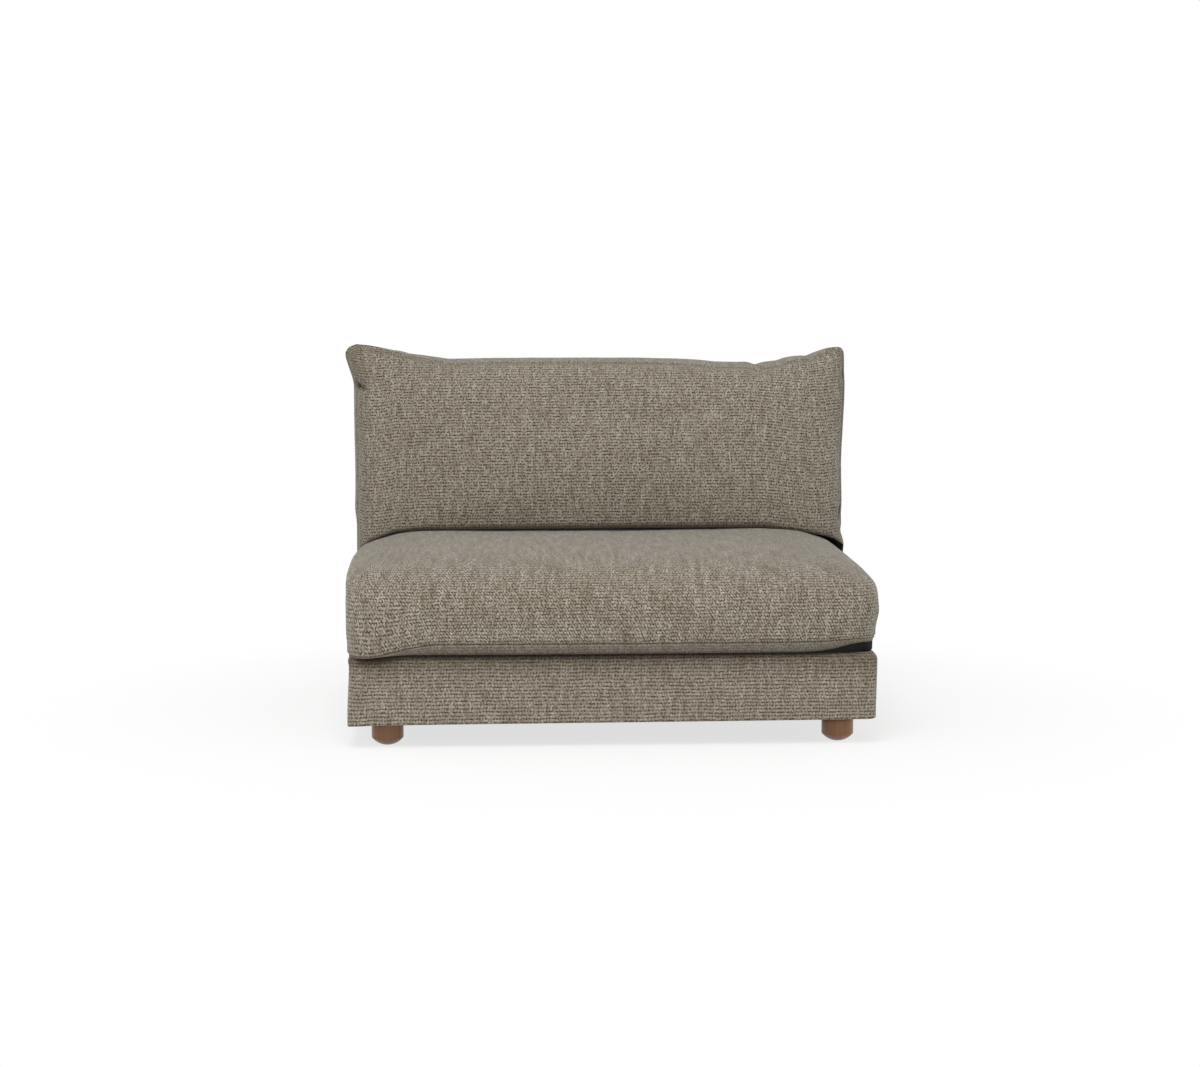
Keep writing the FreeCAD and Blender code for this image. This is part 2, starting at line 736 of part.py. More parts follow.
def cushions():
    """Covers as closed shells, with what fills them."""
    keep("seat_cushion_cover", seat_body(0).cut(seat_body(cover_skin)))
    keep("seat_cushion_fibre_wrap", seat_body(cover_skin + nest_gap).cut(core_block(nest_gap)))
    keep("seat_cushion_foam_core", core_block(0))
    keep("back_cushion_cover", back_body(0).cut(back_body(cover_skin)))
    keep("back_cushion_feather_insert", back_body(cover_skin + nest_gap))


# Zips: a flat tape with a rib of teeth, and a slider that straddles the rib

def zip_strip(length, place):
    """Tape and teeth along X, built at the origin facing +Z and then placed."""
    half = length / 2
    tape = block(-half, half, -zip_tape_width / 2, zip_tape_width / 2, 0, zip_tape_thick)
    tooth_end = half - zip_end_margin / 2
    top = zip_tape_thick + zip_tooth_height
    rib = block(-tooth_end, tooth_end, -zip_tooth_width / 2, zip_tooth_width / 2, zip_tape_thick, top)
    return place(tape.fuse(rib).removeSplitter())


def zip_slider(x, place):
    """A channel over the teeth, with a pull that lies along the tape."""
    z0 = zip_tape_thick + slider_slack
    z1 = zip_tape_thick + zip_tooth_height + slider_slack + slider_wall
    half = slider_length / 2
    body = block(x - half, x + half, -slider_width / 2, slider_width / 2, z0, z1)
    body = body.makeChamfer(slider_wall, upright_edges(body))
    channel_w = zip_tooth_width / 2 + slider_slack
    body = body.cut(block(x - half, x + half, -channel_w, channel_w, z0 - overrun, z1 - slider_wall))
    pull = block(x - half - pull_length, x, -pull_width / 2, pull_width / 2, z1, z1 + pull_thick)
    return place(body.fuse(pull).removeSplitter())


def zips():
    """One zip across the rear of the seat cushion, one across the underside of the back cushion."""
    seat_rear = back_front_y - seat_rear_gap + fit_gap

    def on_rear(shape):
        shape.rotate(Vector(0, 0, 0), Vector(1, 0, 0), -90)
        shape.translate(Vector(0, seat_rear, seat_z0 + seat_zip_height))
        return shape

    seat_end = seat_zip_length / 2 - zip_end_margin - slider_length / 2
    keep("seat_cushion_zip", zip_strip(seat_zip_length, on_rear))
    keep("seat_zip_slider", zip_slider(seat_end, on_rear))
    under = ring_insets[zip_strip_rings[0]] * bottom_inset_share + zip_hollow
    middle_share = sum(ring_depth_shares[i] for i in zip_strip_rings) / 2
    y0, lean = back_ring_plane(middle_share, 0)

    def on_underside(shape):
        shape.rotate(Vector(0, 0, 0), Vector(1, 0, 0), 180)
        shape.translate(Vector(0, y0 + lean * under, seat_top + touch_gap + under - fit_gap))
        return shape

    back_end = back_zip_length / 2 - zip_end_margin - slider_length / 2
    keep("back_cushion_zip", zip_strip(back_zip_length, on_underside))
    keep("back_zip_slider", zip_slider(back_end, on_underside))


def main():
    """Builds every node and writes its STEP file."""
    base_frame()
    back_board()
    seat_webbing()
    base_upholstery()
    feet()
    back_unit()
    connectors()
    cushions()
    zips()
    os.makedirs("parts", exist_ok=True)
    for name, shape in parts.items():
        shape.exportStep("parts/" + name + ".step")
    print(len(parts), "nodes")


main()
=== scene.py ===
"""Looks of the armless sofa module: loose woven cushions, a padded base on turned feet and a back unit."""

import math

import bmesh
import bpy
import numpy as np
from mathutils import Matrix, Vector, noise


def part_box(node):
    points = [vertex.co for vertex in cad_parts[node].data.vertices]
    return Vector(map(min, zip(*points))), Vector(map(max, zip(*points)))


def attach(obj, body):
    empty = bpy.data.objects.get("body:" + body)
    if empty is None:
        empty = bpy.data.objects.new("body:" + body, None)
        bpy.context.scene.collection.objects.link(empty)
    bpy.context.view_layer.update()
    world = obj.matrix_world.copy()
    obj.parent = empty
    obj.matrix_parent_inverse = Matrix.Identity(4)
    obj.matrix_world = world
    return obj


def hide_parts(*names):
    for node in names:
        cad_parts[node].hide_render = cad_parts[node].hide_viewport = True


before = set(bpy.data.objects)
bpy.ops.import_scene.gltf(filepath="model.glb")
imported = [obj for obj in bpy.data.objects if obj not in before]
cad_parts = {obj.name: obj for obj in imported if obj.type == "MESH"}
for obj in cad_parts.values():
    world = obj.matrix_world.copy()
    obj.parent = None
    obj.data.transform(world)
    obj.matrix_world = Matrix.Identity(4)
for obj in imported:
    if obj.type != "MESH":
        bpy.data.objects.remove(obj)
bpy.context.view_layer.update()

MM = 0.001

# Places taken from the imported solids
BASE_LOW, BASE_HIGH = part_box("base_cover")
SEAT_LOW, SEAT_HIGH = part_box("seat_cushion_cover")
SEAT_ZIP_LOW, SEAT_ZIP_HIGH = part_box("seat_cushion_zip")
BACK_LOW, BACK_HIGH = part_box("back_cover")
FOOT_LOW, FOOT_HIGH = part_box("front_feet")
DECK_LOW, DECK_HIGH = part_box("deck_cloth")
LINING_LOW, LINING_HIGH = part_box("inside_back_lining")
DUST_LOW, DUST_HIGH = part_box("dust_cover")
# the front of the back unit leans by 5.3 degrees
BACK_RAKE = math.tan(math.radians(5.3))


# Small helpers

def linear(hex_colour):
    """An sRGB hex colour as linear red, green, blue and alpha."""
    channels = [int(hex_colour[i:i + 2], 16) / 255 for i in (1, 3, 5)]
    return [c / 12.92 if c <= 0.04045 else ((c + 0.055) / 1.055) ** 2.4 for c in channels] + [1.0]


def lighter(hex_colour, factor):
    """The same colour, brighter by a factor."""
    return "#" + "".join("%02x" % min(255, int(int(hex_colour[i:i + 2], 16) * factor)) for i in (1, 3, 5))


def eased(x, xs, ys):
    """A smooth curve through a table, with no overshoot between its points."""
    xs, ys, x = np.asarray(xs, float), np.asarray(ys, float), np.asarray(x, float)
    step = np.diff(xs)
    rise = np.diff(ys) / step
    slope = np.zeros(len(xs))
    slope[0], slope[-1] = rise[0], rise[-1]
    same_way = rise[:-1] * rise[1:] > 0
    safe = np.where(same_way, rise[:-1] + rise[1:], 1)
    slope[1:-1] = np.where(same_way, 2 * rise[:-1] * rise[1:] / safe, 0)
    k = np.clip(np.searchsorted(xs, x) - 1, 0, len(xs) - 2)
    t = np.clip((x - xs[k]) / step[k], 0, 1)
    return (ys[k] * (2 * t**3 - 3 * t**2 + 1) + ys[k + 1] * (3 * t**2 - 2 * t**3)
            + step[k] * (slope[k] * (t**3 - 2 * t**2 + t) + slope[k + 1] * (t**3 - t**2)))


def ramp(x, start, end):
    """0 before start, 1 after end, with soft ends."""
    t = np.clip((np.asarray(x, float) - start) / (end - start), 0, 1)
    return t * t * (3 - 2 * t)


def bump_at(x, centre, width):
    """A soft hump of height 1."""
    return np.exp(-((np.asarray(x, float) - centre) / width) ** 2)


# Materials

def put(tree, kind, inputs=(), stops=(), **settings):
    """Adds a shader node with its settings and links.

    An input is a value, a node or a node's output. Inputs without names go to the sockets in order.
    Stops are the places and hex colours of a colour ramp.
    """
    node = tree.nodes.new("ShaderNode" + kind)
    for name, value in settings.items():
        setattr(node, name, value)
    for socket, value in inputs.items() if isinstance(inputs, dict) else enumerate(inputs):
        if isinstance(value, bpy.types.Node):
            value = value.outputs[0]
        if isinstance(value, bpy.types.NodeSocket):
            tree.links.new(value, node.inputs[socket])
        else:
            node.inputs[socket].default_value = value
    if stops:
        elements = node.color_ramp.elements
        while len(elements) < len(stops):
            elements.new(0.5)
        for element, (place, colour) in zip(elements, stops):
            element.position = place
            element.color = linear(colour)
    return node


def empty_material(name):
    """A material and its node tree, still without nodes."""
    material = bpy.data.materials.new(name)
    material.use_nodes = True
    material.node_tree.nodes.clear()
    return material, material.node_tree


# The face fabric is a heavy weave of spun yarn in mixed taupe, greige and oat fibres. The thick weft lies
# over a thin warp in ribs, each a row of nubs. To the eye that gives soft pale rows, dark pits between them
# where the warp pulls the yarn down, whose dark is painted shade in those hollows, slow streaks where a
# batch of yarn is lighter, and a matt nap that catches light at its rim.
RIB_PITCH = 7.2 * MM
NUB_PITCH = 6.3 * MM
RIB_SWAY = 60 * MM
NUB_STRAY = 8 * MM
# how far a rib wanders along itself and across, in mm
RIB_WANDER = (9, 4)
YARN_THICKNESS = 4.5 * MM
# fibres of 0.02 mm lie in tufts, which are drawn as coarse as they need to show
FIBRE_TUFT = 2.6 * MM
FUZZ = 1.1 * MM
# across and along the warp
STREAK = (11 * MM, 60 * MM)
SHADE_PATCH = (16 * MM, 90 * MM)
TAUPE, GREIGE, OAT = "#726551", "#9c9486", "#c1bbb0"
# painted shade: the first fills the weave's pits, the second darkens the cloth under overhangs, in creases
# and along seams
PIT_SHADE, PAINTED_SHADE_BROWN = "#40331f", "#3a2a15"


def ribbed_weave(name, row_gap, nub_gap, lean=0.0, slant=0.0, drift=1.0, wander=(2.2, 0.6), evenness=0.1,
                 fibre=1.0, streak=0.6, patchy=0.1, tone=1.0):
    """The face fabric as it lies on one piece.

    The gaps say how deep the pits between ribs and between nubs are. Each rib's nubs are carried along by
    lean and slant, and thrown by drift. A nub strays by wander, in mm. Evenness opens all pits alike.
    Fibre, streak and patchy are depths of shade, and tone lightens the yarn.
    """
    material, tree = empty_material(name)
    cloth = put(tree, "UVMap", uv_map="cloth")
    # ribs wander slowly, and each nub is a little out of place
    place = cloth
    for size, (along, across) in ((RIB_SWAY, RIB_WANDER), (NUB_STRAY, wander)):
        sway = put(tree, "TexNoise", {"Vector": cloth, "Scale": 1 / size, "Detail": 1.0},
                   noise_dimensions="2D")
        place = put(tree, "VectorMath", (sway.outputs["Color"], (along * MM, across * MM, 0), place),
                    operation="MULTIPLY_ADD")
    place = put(tree, "SeparateXYZ", (place,))
    row = put(tree, "Math", (place.outputs[1], RIB_PITCH), operation="DIVIDE")
    rib = put(tree, "Math", (row,), operation="FLOOR")
    thrown = put(tree, "TexWhiteNoise", {"W": rib}, noise_dimensions="1D").outputs["Value"]
    shift = put(tree, "Math", (rib, lean - slant), operation="MULTIPLY")
    shift = put(tree, "Math", (thrown, drift, shift), operation="MULTIPLY_ADD")
    shift = put(tree, "Math", (row, slant, shift), operation="MULTIPLY_ADD")
    column = put(tree, "Math", (place.outputs[0], 1 / NUB_PITCH, shift), operation="MULTIPLY_ADD")
    nub = put(tree, "Math", (column,), operation="FLOOR")
    # dark pits above and below a rib and beside a nub, wider where the yarn runs thin: painted shade in the
    # hollows
    pits = []
    for line, depth, bent in ((row, row_gap, 0.3), (column, nub_gap, 0.0)):
        within = put(tree, "Math", (line, 2.0), operation="MULTIPLY")
        within = put(tree, "Math", (within, 1.0), operation="PINGPONG")
        near = put(tree, "Math", (1.0, within), operation="SUBTRACT")
        near = put(tree, "Math", (near, 2.0), operation="POWER")
        thin = put(tree, "TexNoise", {"Vector": cloth, "Scale": 1 / YARN_THICKNESS, "Detail": 0.0,
                                      "Distortion": bent}, noise_dimensions="2D")
        thin = put(tree, "MapRange", {"Value": thin, "From Min": 0.3 - evenness, "From Max": 0.7,
                                      "To Min": 0.0, "To Max": 2 * depth}, clamp=True)
        pits.append(put(tree, "Math", (near, thin), operation="MULTIPLY"))
    pit = put(tree, "Math", pits, operation="ADD", use_clamp=True)
    # each nub's own shade, loose fibres, and streaks and patches along the warp
    cell = put(tree, "CombineXYZ", (nub, rib))
    fleck = put(tree, "TexWhiteNoise", {"Vector": cell}, noise_dimensions="2D").outputs["Value"]
    shade = put(tree, "Math", (fleck, 0.25, 0.35 - (fibre + streak + patchy) / 2), operation="MULTIPLY_ADD")
    tufts = put(tree, "TexNoise", {"Vector": cloth, "Scale": 1 / FIBRE_TUFT, "Detail": 1.0},
                noise_dimensions="2D")
    shade = put(tree, "Math", (tufts, fibre, shade), operation="MULTIPLY_ADD")
    for (across, along), detail, depth in ((STREAK, 2.0, streak), (SHADE_PATCH, 1.0, patchy)):
        drawn_out = put(tree, "VectorMath", (cloth, (1 / across, 1 / along, 0)), operation="MULTIPLY")
        band = put(tree, "TexNoise", {"Vector": drawn_out, "Scale": 1.0, "Detail": detail},
                   noise_dimensions="2D")
        shade = put(tree, "Math", (band, depth, shade), operation="MULTIPLY_ADD")
    yarn = put(tree, "ValToRGB", (shade,), [(0.0, lighter(TAUPE, tone)), (0.5, lighter(GREIGE, tone)),
                                            (1.0, lighter(OAT, tone))])
    colour = put(tree, "Mix", {0: pit, 6: yarn, 7: linear(PIT_SHADE)}, data_type="RGBA").outputs[2]
    # painted shade: a value on each point darkens the cloth under overhangs, in creases and along seams
    painted_shade = put(tree, "Attribute", attribute_name="painted_shade").outputs["Fac"]
    colour = put(tree, "Mix", {0: painted_shade, 6: colour, 7: linear(PAINTED_SHADE_BROWN)}, data_type="RGBA").outputs[2]
    fuzz = put(tree, "TexNoise", {"Vector": cloth, "Scale": 1 / FUZZ, "Detail": 2.0}, noise_dimensions="2D")
    relief = put(tree, "Math", (fuzz, 0.25), operation="MULTIPLY")
    relief = put(tree, "Math", (relief, pit), operation="SUBTRACT")
    bump = put(tree, "Bump", {"Height": relief, "Strength": 0.7, "Distance": 1.6 * MM})
    shader = put(tree, "BsdfPrincipled", {"Base Color": colour, "Roughness": 0.92, "Specular IOR Level": 0.25,
                                          "Sheen Weight": 0.32, "Sheen Roughness": 0.4, "Normal": bump})
    put(tree, "OutputMaterial", {"Surface": shader})
    return material


def fine_grained(name, colour, roughness=0.9, grain=1.2 * MM, spread=1.35):
    """A dull material of fine threads, fibres or cells, which show as a faint speckle."""
    material, tree = empty_material(name)
    place = put(tree, "TexCoord").outputs["Object"]
    speckle = put(tree, "TexNoise", {"Vector": place, "Scale": 1 / grain, "Detail": 2.0})
    shades = put(tree, "ValToRGB", (speckle,), [(0.3, colour), (0.7, lighter(colour, spread))])
    bump = put(tree, "Bump", {"Height": speckle, "Strength": 0.4, "Distance": 0.3 * MM})
    shader = put(tree, "BsdfPrincipled", {"Base Color": shades, "Roughness": roughness,
                                          "Specular IOR Level": 0.2, "Normal": bump})
    put(tree, "OutputMaterial", {"Surface": shader})
    return material


def wood(name, dark, light, grain_along, grain, roughness):
    """Wood with its growth rings cut along one axis: long soft bands, with fine pores in the gloss."""
    material, tree = empty_material(name)
    place = put(tree, "TexCoord").outputs["Object"]
    stretch = [1 / grain] * 3
    stretch[grain_along] = 1 / (grain * 22)
    mapped = put(tree, "VectorMath", (place, stretch), operation="MULTIPLY")
    figure = put(tree, "TexNoise", {"Vector": mapped, "Scale": 1.0, "Detail": 4.0, "Distortion": 0.6})
    shades = put(tree, "ValToRGB", (figure,), [(0.25, dark), (0.75, light)])
    pores = put(tree, "TexNoise", {"Vector": mapped, "Scale": 5.0, "Detail": 2.0})
    bump = put(tree, "Bump", {"Height": pores, "Strength": 0.15, "Distance": 0.2 * MM})
    shader = put(tree, "BsdfPrincipled", {"Base Color": shades, "Roughness": roughness, "Normal": bump})
    put(tree, "OutputMaterial", {"Surface": shader})
    return material


def plated(name, colour, roughness=0.35):
    """Plated metal: its crystals give a faint grain in colour and gloss."""
    material, tree = empty_material(name)
    place = put(tree, "TexCoord").outputs["Object"]
    crystals = put(tree, "TexNoise", {"Vector": place, "Scale": 1 / (2 * MM), "Detail": 3.0})
    shades = put(tree, "ValToRGB", (crystals,), [(0.3, colour), (0.7, lighter(colour, 1.15))])
    gloss = put(tree, "Math", (crystals, 0.2, roughness - 0.1), operation="MULTIPLY_ADD")
    shader = put(tree, "BsdfPrincipled", {"Base Color": shades, "Metallic": 1.0, "Roughness": gloss})
    put(tree, "OutputMaterial", {"Surface": shader})
    return material


# on the pillow the cloth is slack, so its ribs wander and its rows open up
BACK_WEAVE = ribbed_weave("relaxed_greige_weave", 0.6, 0.33, wander=(3, 1.0), evenness=0.0, tone=0.98)
# on the seat it is stretched over foam, so the nubs line up aslant and the weave looks diagonal
SEAT_WEAVE = ribbed_weave("stretched_greige_weave", 0.46, 0.52, lean=-0.333, slant=0.35, drift=0.0,
                          wander=(2.0, 0.9), streak=0.5, patchy=0.5, tone=1.03)
# on the base and the back unit it is pulled down and stapled, so the ribs run level
BASE_WEAVE = ribbed_weave("pulled_down_greige_weave", 0.54, 0.3, evenness=0.15, fibre=0.8, tone=1.02)
# under the seat's front seam it is turned in and held tight, so the pits close and the strip looks smooth;
# its yarn is also drawn darker as painted shade, since the strip faces down
SHADED_TURNED_WEAVE = ribbed_weave("shaded_turned_under_greige_weave", 0.32, 0.25, fibre=1.2, streak=0.4, tone=0.87)
# thin woven polypropylene: a dull black between the cushions, with its 0.3 mm threads drawn 1.2 mm to show
LINING = fine_grained("woven_polypropylene_lining", "#1b1a1a")
# fibres melted together in a sheet: nearly black, with the same coarse speckle
DUST_CLOTH = fine_grained("black_spunbond_dust_cloth", "#111112")
# polyurethane foam, cut open through its 0.5 mm cells, which are drawn as 2.5 mm hollows: pale and chalky
FOAM = fine_grained("cut_polyurethane_foam", "#e0d8bc", grain=2.5 * MM)
# wood fibre pressed to a hard brown board with a slight shine
HARDBOARD = fine_grained("pressed_hardboard", "#6b4a30", roughness=0.7)
# rubber threads in a dark woven jacket: flat and matt
BANDS = fine_grained("woven_elastic_webbing", "#3a342e")
# woven polyester tape, dyed darker than the cloth
ZIP_TAPE = fine_grained("woven_polyester_zip_tape", "#5a5249", roughness=0.85)
# nylon wire wound to a coil: smooth, so its turns catch small lights, and even in colour
ZIP_COIL = fine_grained("wound_nylon_zip_coil", "#4d463e", roughness=0.4, grain=6 * MM, spread=1.1)
# beech turned on a lathe, stained and lacquered: faint upright bands 9 mm apart under a satin gloss
FOOT_WOOD = wood("turned_stained_beech", "#7b5130", "#8f613c", grain_along=2, grain=9 * MM, roughness=0.3)
# planed pine, bare: yellow bands 6 mm apart, which run the width of the sofa on every rail
SOFTWOOD = wood("planed_pine", "#b48d5c", "#cfae7e", grain_along=0, grain=6 * MM, roughness=0.6)
# peeled birch veneer, bare: paler bands 8 mm apart
PLYWOOD = wood("peeled_birch_plywood", "#b9946a", "#cfb083", grain_along=0, grain=8 * MM, roughness=0.6)
# pressed and turned steel with a zinc plating: pale grey, half bright
ZINC = plated("zinc_plated_steel", "#a9abad")
# die-cast zinc with a dark plating: the sliders look bronze-grey beside the tape
SLIDER_METAL = plated("die_cast_plated_zinc", "#4b4744", 0.3)


# Forms: a panel above, a side wall and a panel below, welded into one closed skin

def rounded_outline(a, b, left, right, low, high, round_low, round_high):
    """Where the square's edge point (a, b) lands on a rectangle with rounded corners."""
    half, depth = (right - left) / 2, high - low
    x, y = (left + right) / 2 + a * half, low + (b + 1) / 2 * depth
    wanted = np.where(b < 0, round_low, round_high)
    radius = np.maximum(np.minimum(wanted, np.minimum(half, depth / 2)), 1e-9)
    flat = np.abs(b) >= np.abs(a)
    gap = np.where(flat, np.where(a < 0, x - left, right - x), np.where(b < 0, y - low, high - y))
    near = gap < radius
    turn = np.clip(1 - gap / radius, 0, 1) * math.pi / 4
    reach, inset = radius - radius * np.sin(turn), radius - radius * np.cos(turn)
    side = np.where(flat, reach, inset) * near
    end = np.where(flat, inset, reach) * near
    x = np.where(near | ~flat, np.where(a < 0, left + side, right - side), x)
    y = np.where(near | flat, np.where(b < 0, low + end, high - end), y)
    return x, y


def grid_lines(count, seam):
    """Grid lines from -1 to 1, with close ones at both ends for the seams."""
    inner = np.linspace(-1 + seam[-1], 1 - seam[-1], count)
    ends = np.array([0, *seam[:-1]])
    return np.concatenate([-1 + ends, inner, (1 - ends)[::-1]])


SEAM_LINES = (3 * MM, 6 * MM, 10 * MM)


class Form:
    """A stuffed form: rings of a rounded rectangle, with how far each side stands in at each level."""

    def __init__(self, levels, left, right, low, high, corners, centre, place):
        self.levels, self.sides = levels, (left, right, low, high)
        self.corners, self.centre, self.place = corners, centre, place

    def ring(self, level):
        """Left, right, low and high side of the ring at a level."""
        return [eased(level, self.levels, side) for side in self.sides]

    def lines(self, level, count_a, count_b, seams=SEAM_LINES):
        """The grid lines of a panel that starts at a level."""
        left, right, low, high = self.ring(level)
        return (grid_lines(count_a, [2 * s / (right - left) for s in seams]),
                grid_lines(count_b, [2 * s / (high - low) for s in seams]))

    def panel(self, start, end, a_line, b_line):
        """The closing panel between two levels, how far in its points are, and their ring places."""
        a, b = np.meshgrid(a_line, b_line)
        rho = np.maximum(np.abs(a), np.abs(b))
        safe = np.maximum(rho, 1e-9)
        table = np.linspace(end, start, 80)
        widths = np.array([float(right - left) / 2 for left, right, _, _ in map(self.ring, table)])
        start_half, end_half = widths[-1], widths[0]
        rho_end = end_half / start_half
        level = np.where(rho > rho_end, np.interp(rho * start_half, widths, table), end)
        inner = np.clip(rho / rho_end, 0, 1)
        middle = (0.0, 0.0, self.centre, self.centre)
        ring = [np.where(rho > rho_end, side, mid + (side - mid) * inner)
                for side, mid in zip(self.ring(level), middle)]
        soft = ramp(rho, 0, 1)
        x, y = rounded_outline(a / safe, b / safe, *ring, self.corners[0] * soft, self.corners[1] * soft)
        crown = (1 - inner ** 2) * (1 if end > start else -1)
        return self.place(x, y, level, crown), (1 - rho) * start_half, (x, y)

    def wall(self, levels, a_line, b_line):
        """The wall round the form, one row per level, starting at the middle of the lower side."""
        mid = len(a_line) // 2
        a = np.concatenate([a_line[mid:], np.full(len(b_line) - 1, 1), a_line[::-1][1:],
                            np.full(len(b_line) - 1, -1), a_line[1:mid + 1]])
        b = np.concatenate([np.full(len(a_line) - mid, -1), b_line[1:], np.full(len(a_line) - 1, 1),
                            b_line[::-1][1:], np.full(mid, -1)])
        rows = []
        for level in levels:
            x, y = rounded_outline(a, b, *self.ring(level), *self.corners)
            rows.append(self.place(x, y, np.full_like(x, level), np.zeros_like(x)))
        return np.array(rows)


def closing_panel(ring, a_line, b_line):
    """A plain panel inside a wall's end row."""
    n_a, n_b = len(a_line), len(b_line)
    mid = n_a // 2
    order = ([(0, i) for i in range(mid, n_a)] + [(j, n_a - 1) for j in range(1, n_b)]
             + [(n_b - 1, i) for i in range(n_a - 2, -1, -1)] + [(j, 0) for j in range(n_b - 2, -1, -1)]
             + [(0, i) for i in range(1, mid + 1)])
    grid = np.zeros((n_b, n_a, 3))
    for place, point in zip(order, ring):
        grid[place] = point
    u = ((a_line + 1) / 2)[None, :, None]
    v = ((b_line + 1) / 2)[:, None, None]
    low, high, left, right = grid[0][None], grid[-1][None], grid[:, 0][:, None], grid[:, -1][:, None]
    blend = ((1 - v) * low + v * high + (1 - u) * left + u * right
             - (1 - u) * (1 - v) * grid[0, 0] - u * (1 - v) * grid[0, -1]
             - (1 - u) * v * grid[-1, 0] - u * v * grid[-1, -1])
    grid[1:-1, 1:-1] = blend[1:-1, 1:-1]
    return grid


def crease(points, start, end, width, depth):
    """How far a pinched fold between two places pushes each point in."""
    start, end = np.array(start), np.array(end)
    along = end - start
    t = np.clip(((points - start) @ along) / (along @ along), 0, 1)
    away = np.linalg.norm(points - start - t[..., None] * along, axis=-1)
    taper = 1 - 0.6 * np.abs(2 * t - 1)
    return -depth * taper * np.exp(-(away / width) ** 2)


def folded(points, folds):
    """How far a group of pinched folds pushes each point in."""
    return sum(crease(points, *fold) for fold in folds)


def travelled(points, axis, zero):
    """Length along a grid's lines, from line number zero."""
    step = np.linalg.norm(np.diff(points, axis=axis), axis=2)
    total = np.concatenate([np.zeros_like(np.take(step, [0], axis)), np.cumsum(step, axis)], axis)
    return total - np.take(total, [zero], axis)


def wall_cloth(wall, upward):
    """A wall's places in the cloth. Ribs run round it, and upward scales the cloth's length up the wall."""
    around = np.broadcast_to(travelled(wall, 1, 0)[len(wall) // 2], wall.shape[:2])
    along = np.broadcast_to(travelled(wall, 0, 0)[:, :1], wall.shape[:2])
    return np.stack([around, along * upward], -1)


def patch(points, cloth, push=0.0, slack=0.0, painted_shade=0.0, flipped=False, slot=0):
    """A grid of points with its places in the cloth. Push, slack and painted shade are one value or a grid.
    """
    layers = [np.broadcast_to(layer, points.shape[:2]) for layer in (push, slack, painted_shade)]
    return points, cloth, layers, flipped, slot


# waves of slack cloth, as waves per metre and their share of the slack
SLACK_WAVES = ((5.5, 1.0), (13, 0.45), (31, 0.2))


def weld(name, patches):
    """One closed mesh from patches. Each point moves out by its push and by what its slack lets it wave."""
    bm = bmesh.new()
    cloth = bm.loops.layers.uv.new("cloth")
    layers = [bm.verts.layers.float.new(layer) for layer in ("push", "slack", "painted_shade")]
    push, slack = layers[:2]
    for points, places, values, flipped, slot in patches:
        rows, columns = points.shape[:2]
        made = [[bm.verts.new(points[r, c]) for c in range(columns)] for r in range(rows)]
        for layer, value in zip(layers, values):
            for r in range(rows):
                for c in range(columns):
                    made[r][c][layer] = value[r, c]
        for r in range(rows - 1):
            for c in range(columns - 1):
                corners = [(r, c), (r, c + 1), (r + 1, c + 1), (r + 1, c)]
                if flipped:
                    corners.reverse()
                face = bm.faces.new([made[i][j] for i, j in corners])
                face.material_index = slot
                for loop, (i, j) in zip(face.loops, corners):
                    loop[cloth].uv = places[i, j]
    bmesh.ops.remove_doubles(bm, verts=bm.verts, dist=0.02 * MM)
    bm.normal_update()
    moves = []
    for v in bm.verts:
        shift = v[push]
        if v[slack] > 0:
            shift += v[slack] * sum(share * noise.noise(v.co * per_metre) for per_metre, share in SLACK_WAVES)
        moves.append(v.normal * shift)
    for v, move in zip(bm.verts, moves):
        v.co += move
    return mesh_object(name, bm, smooth=True)


def bridge(bm, rings, slot=0):
    """Faces from ring to ring of vertices, with both ends closed. A ring of one vertex is a point."""
    for low, high in zip(rings, rings[1:]):
        count = max(len(low), len(high))
        for k in range(count):
            after = (k + 1) % count
            corners = [low[k % len(low)], low[after % len(low)], high[after % len(high)], high[k % len(high)]]
            bm.faces.new(list(dict.fromkeys(corners))).material_index = slot
    for end in (rings[0][::-1], rings[-1]):
        if len(end) > 1:
            bm.faces.new(end).material_index = slot


def mesh_object(name, bm, smooth=False):
    """An object with the mesh that was built."""
    for face in bm.faces:
        face.smooth = smooth
    mesh = bpy.data.meshes.new(name)
    bm.to_mesh(mesh)
    bm.free()
    return bpy.data.objects.new(name, mesh)


def finished(obj, body, materials, slot_name, *nodes):
    """Links a piece, gives it its materials and its body, and hides the solids it stands for."""
    bpy.context.scene.collection.objects.link(obj)
    for material in materials:
        obj.data.materials.append(material)
    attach(obj, body)
    if nodes:
        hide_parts(*nodes)
    return obj


# Seat cushion: a waterfall front over a low seam, full at the left shoulder and slack at the right. Levels
# are shares of its height, and each side is given by how far it stands in at every level.
SEAT_LEVELS = (0.0, 0.007, 0.013, 0.04, 0.12, 0.25, 0.33, 0.42, 0.56, 0.62, 0.68, 0.74, 0.78, 0.86, 0.92,
               0.965, 0.99, 1.0)
SEAT_LEFT = -582 * MM + np.array((30, 28, 24, 18, 6, 1, 0, 0, 0, 0, 0, 1, 2, 17, 44, 76, 102, 160)) * MM
SEAT_RIGHT = 582 * MM - np.array((13, 13, 13.5, 13.5, 11, 6.5, 3, 0, 2, 4, 8, 17, 25, 43, 77, 108, 155,
                                  200)) * MM
SEAT_FRONT = -475 * MM + np.array((20, 18, 10, 7, 2, 0, 0, 0, 5, 10, 17, 28, 38, 62, 100, 165, 280, 470)) * MM
SEAT_REAR = SEAT_HIGH.y - np.array((8, 7, 4, 2, 0, 0, 0, 0, 0, 0, 1, 2, 3, 6, 11, 16, 20, 22)) * MM
SEAT_HEIGHT = SEAT_HIGH.z - SEAT_LOW.z
SEAT_CORNERS = (60 * MM, 30 * MM)
SEAT_CENTRE_Y = 175 * MM
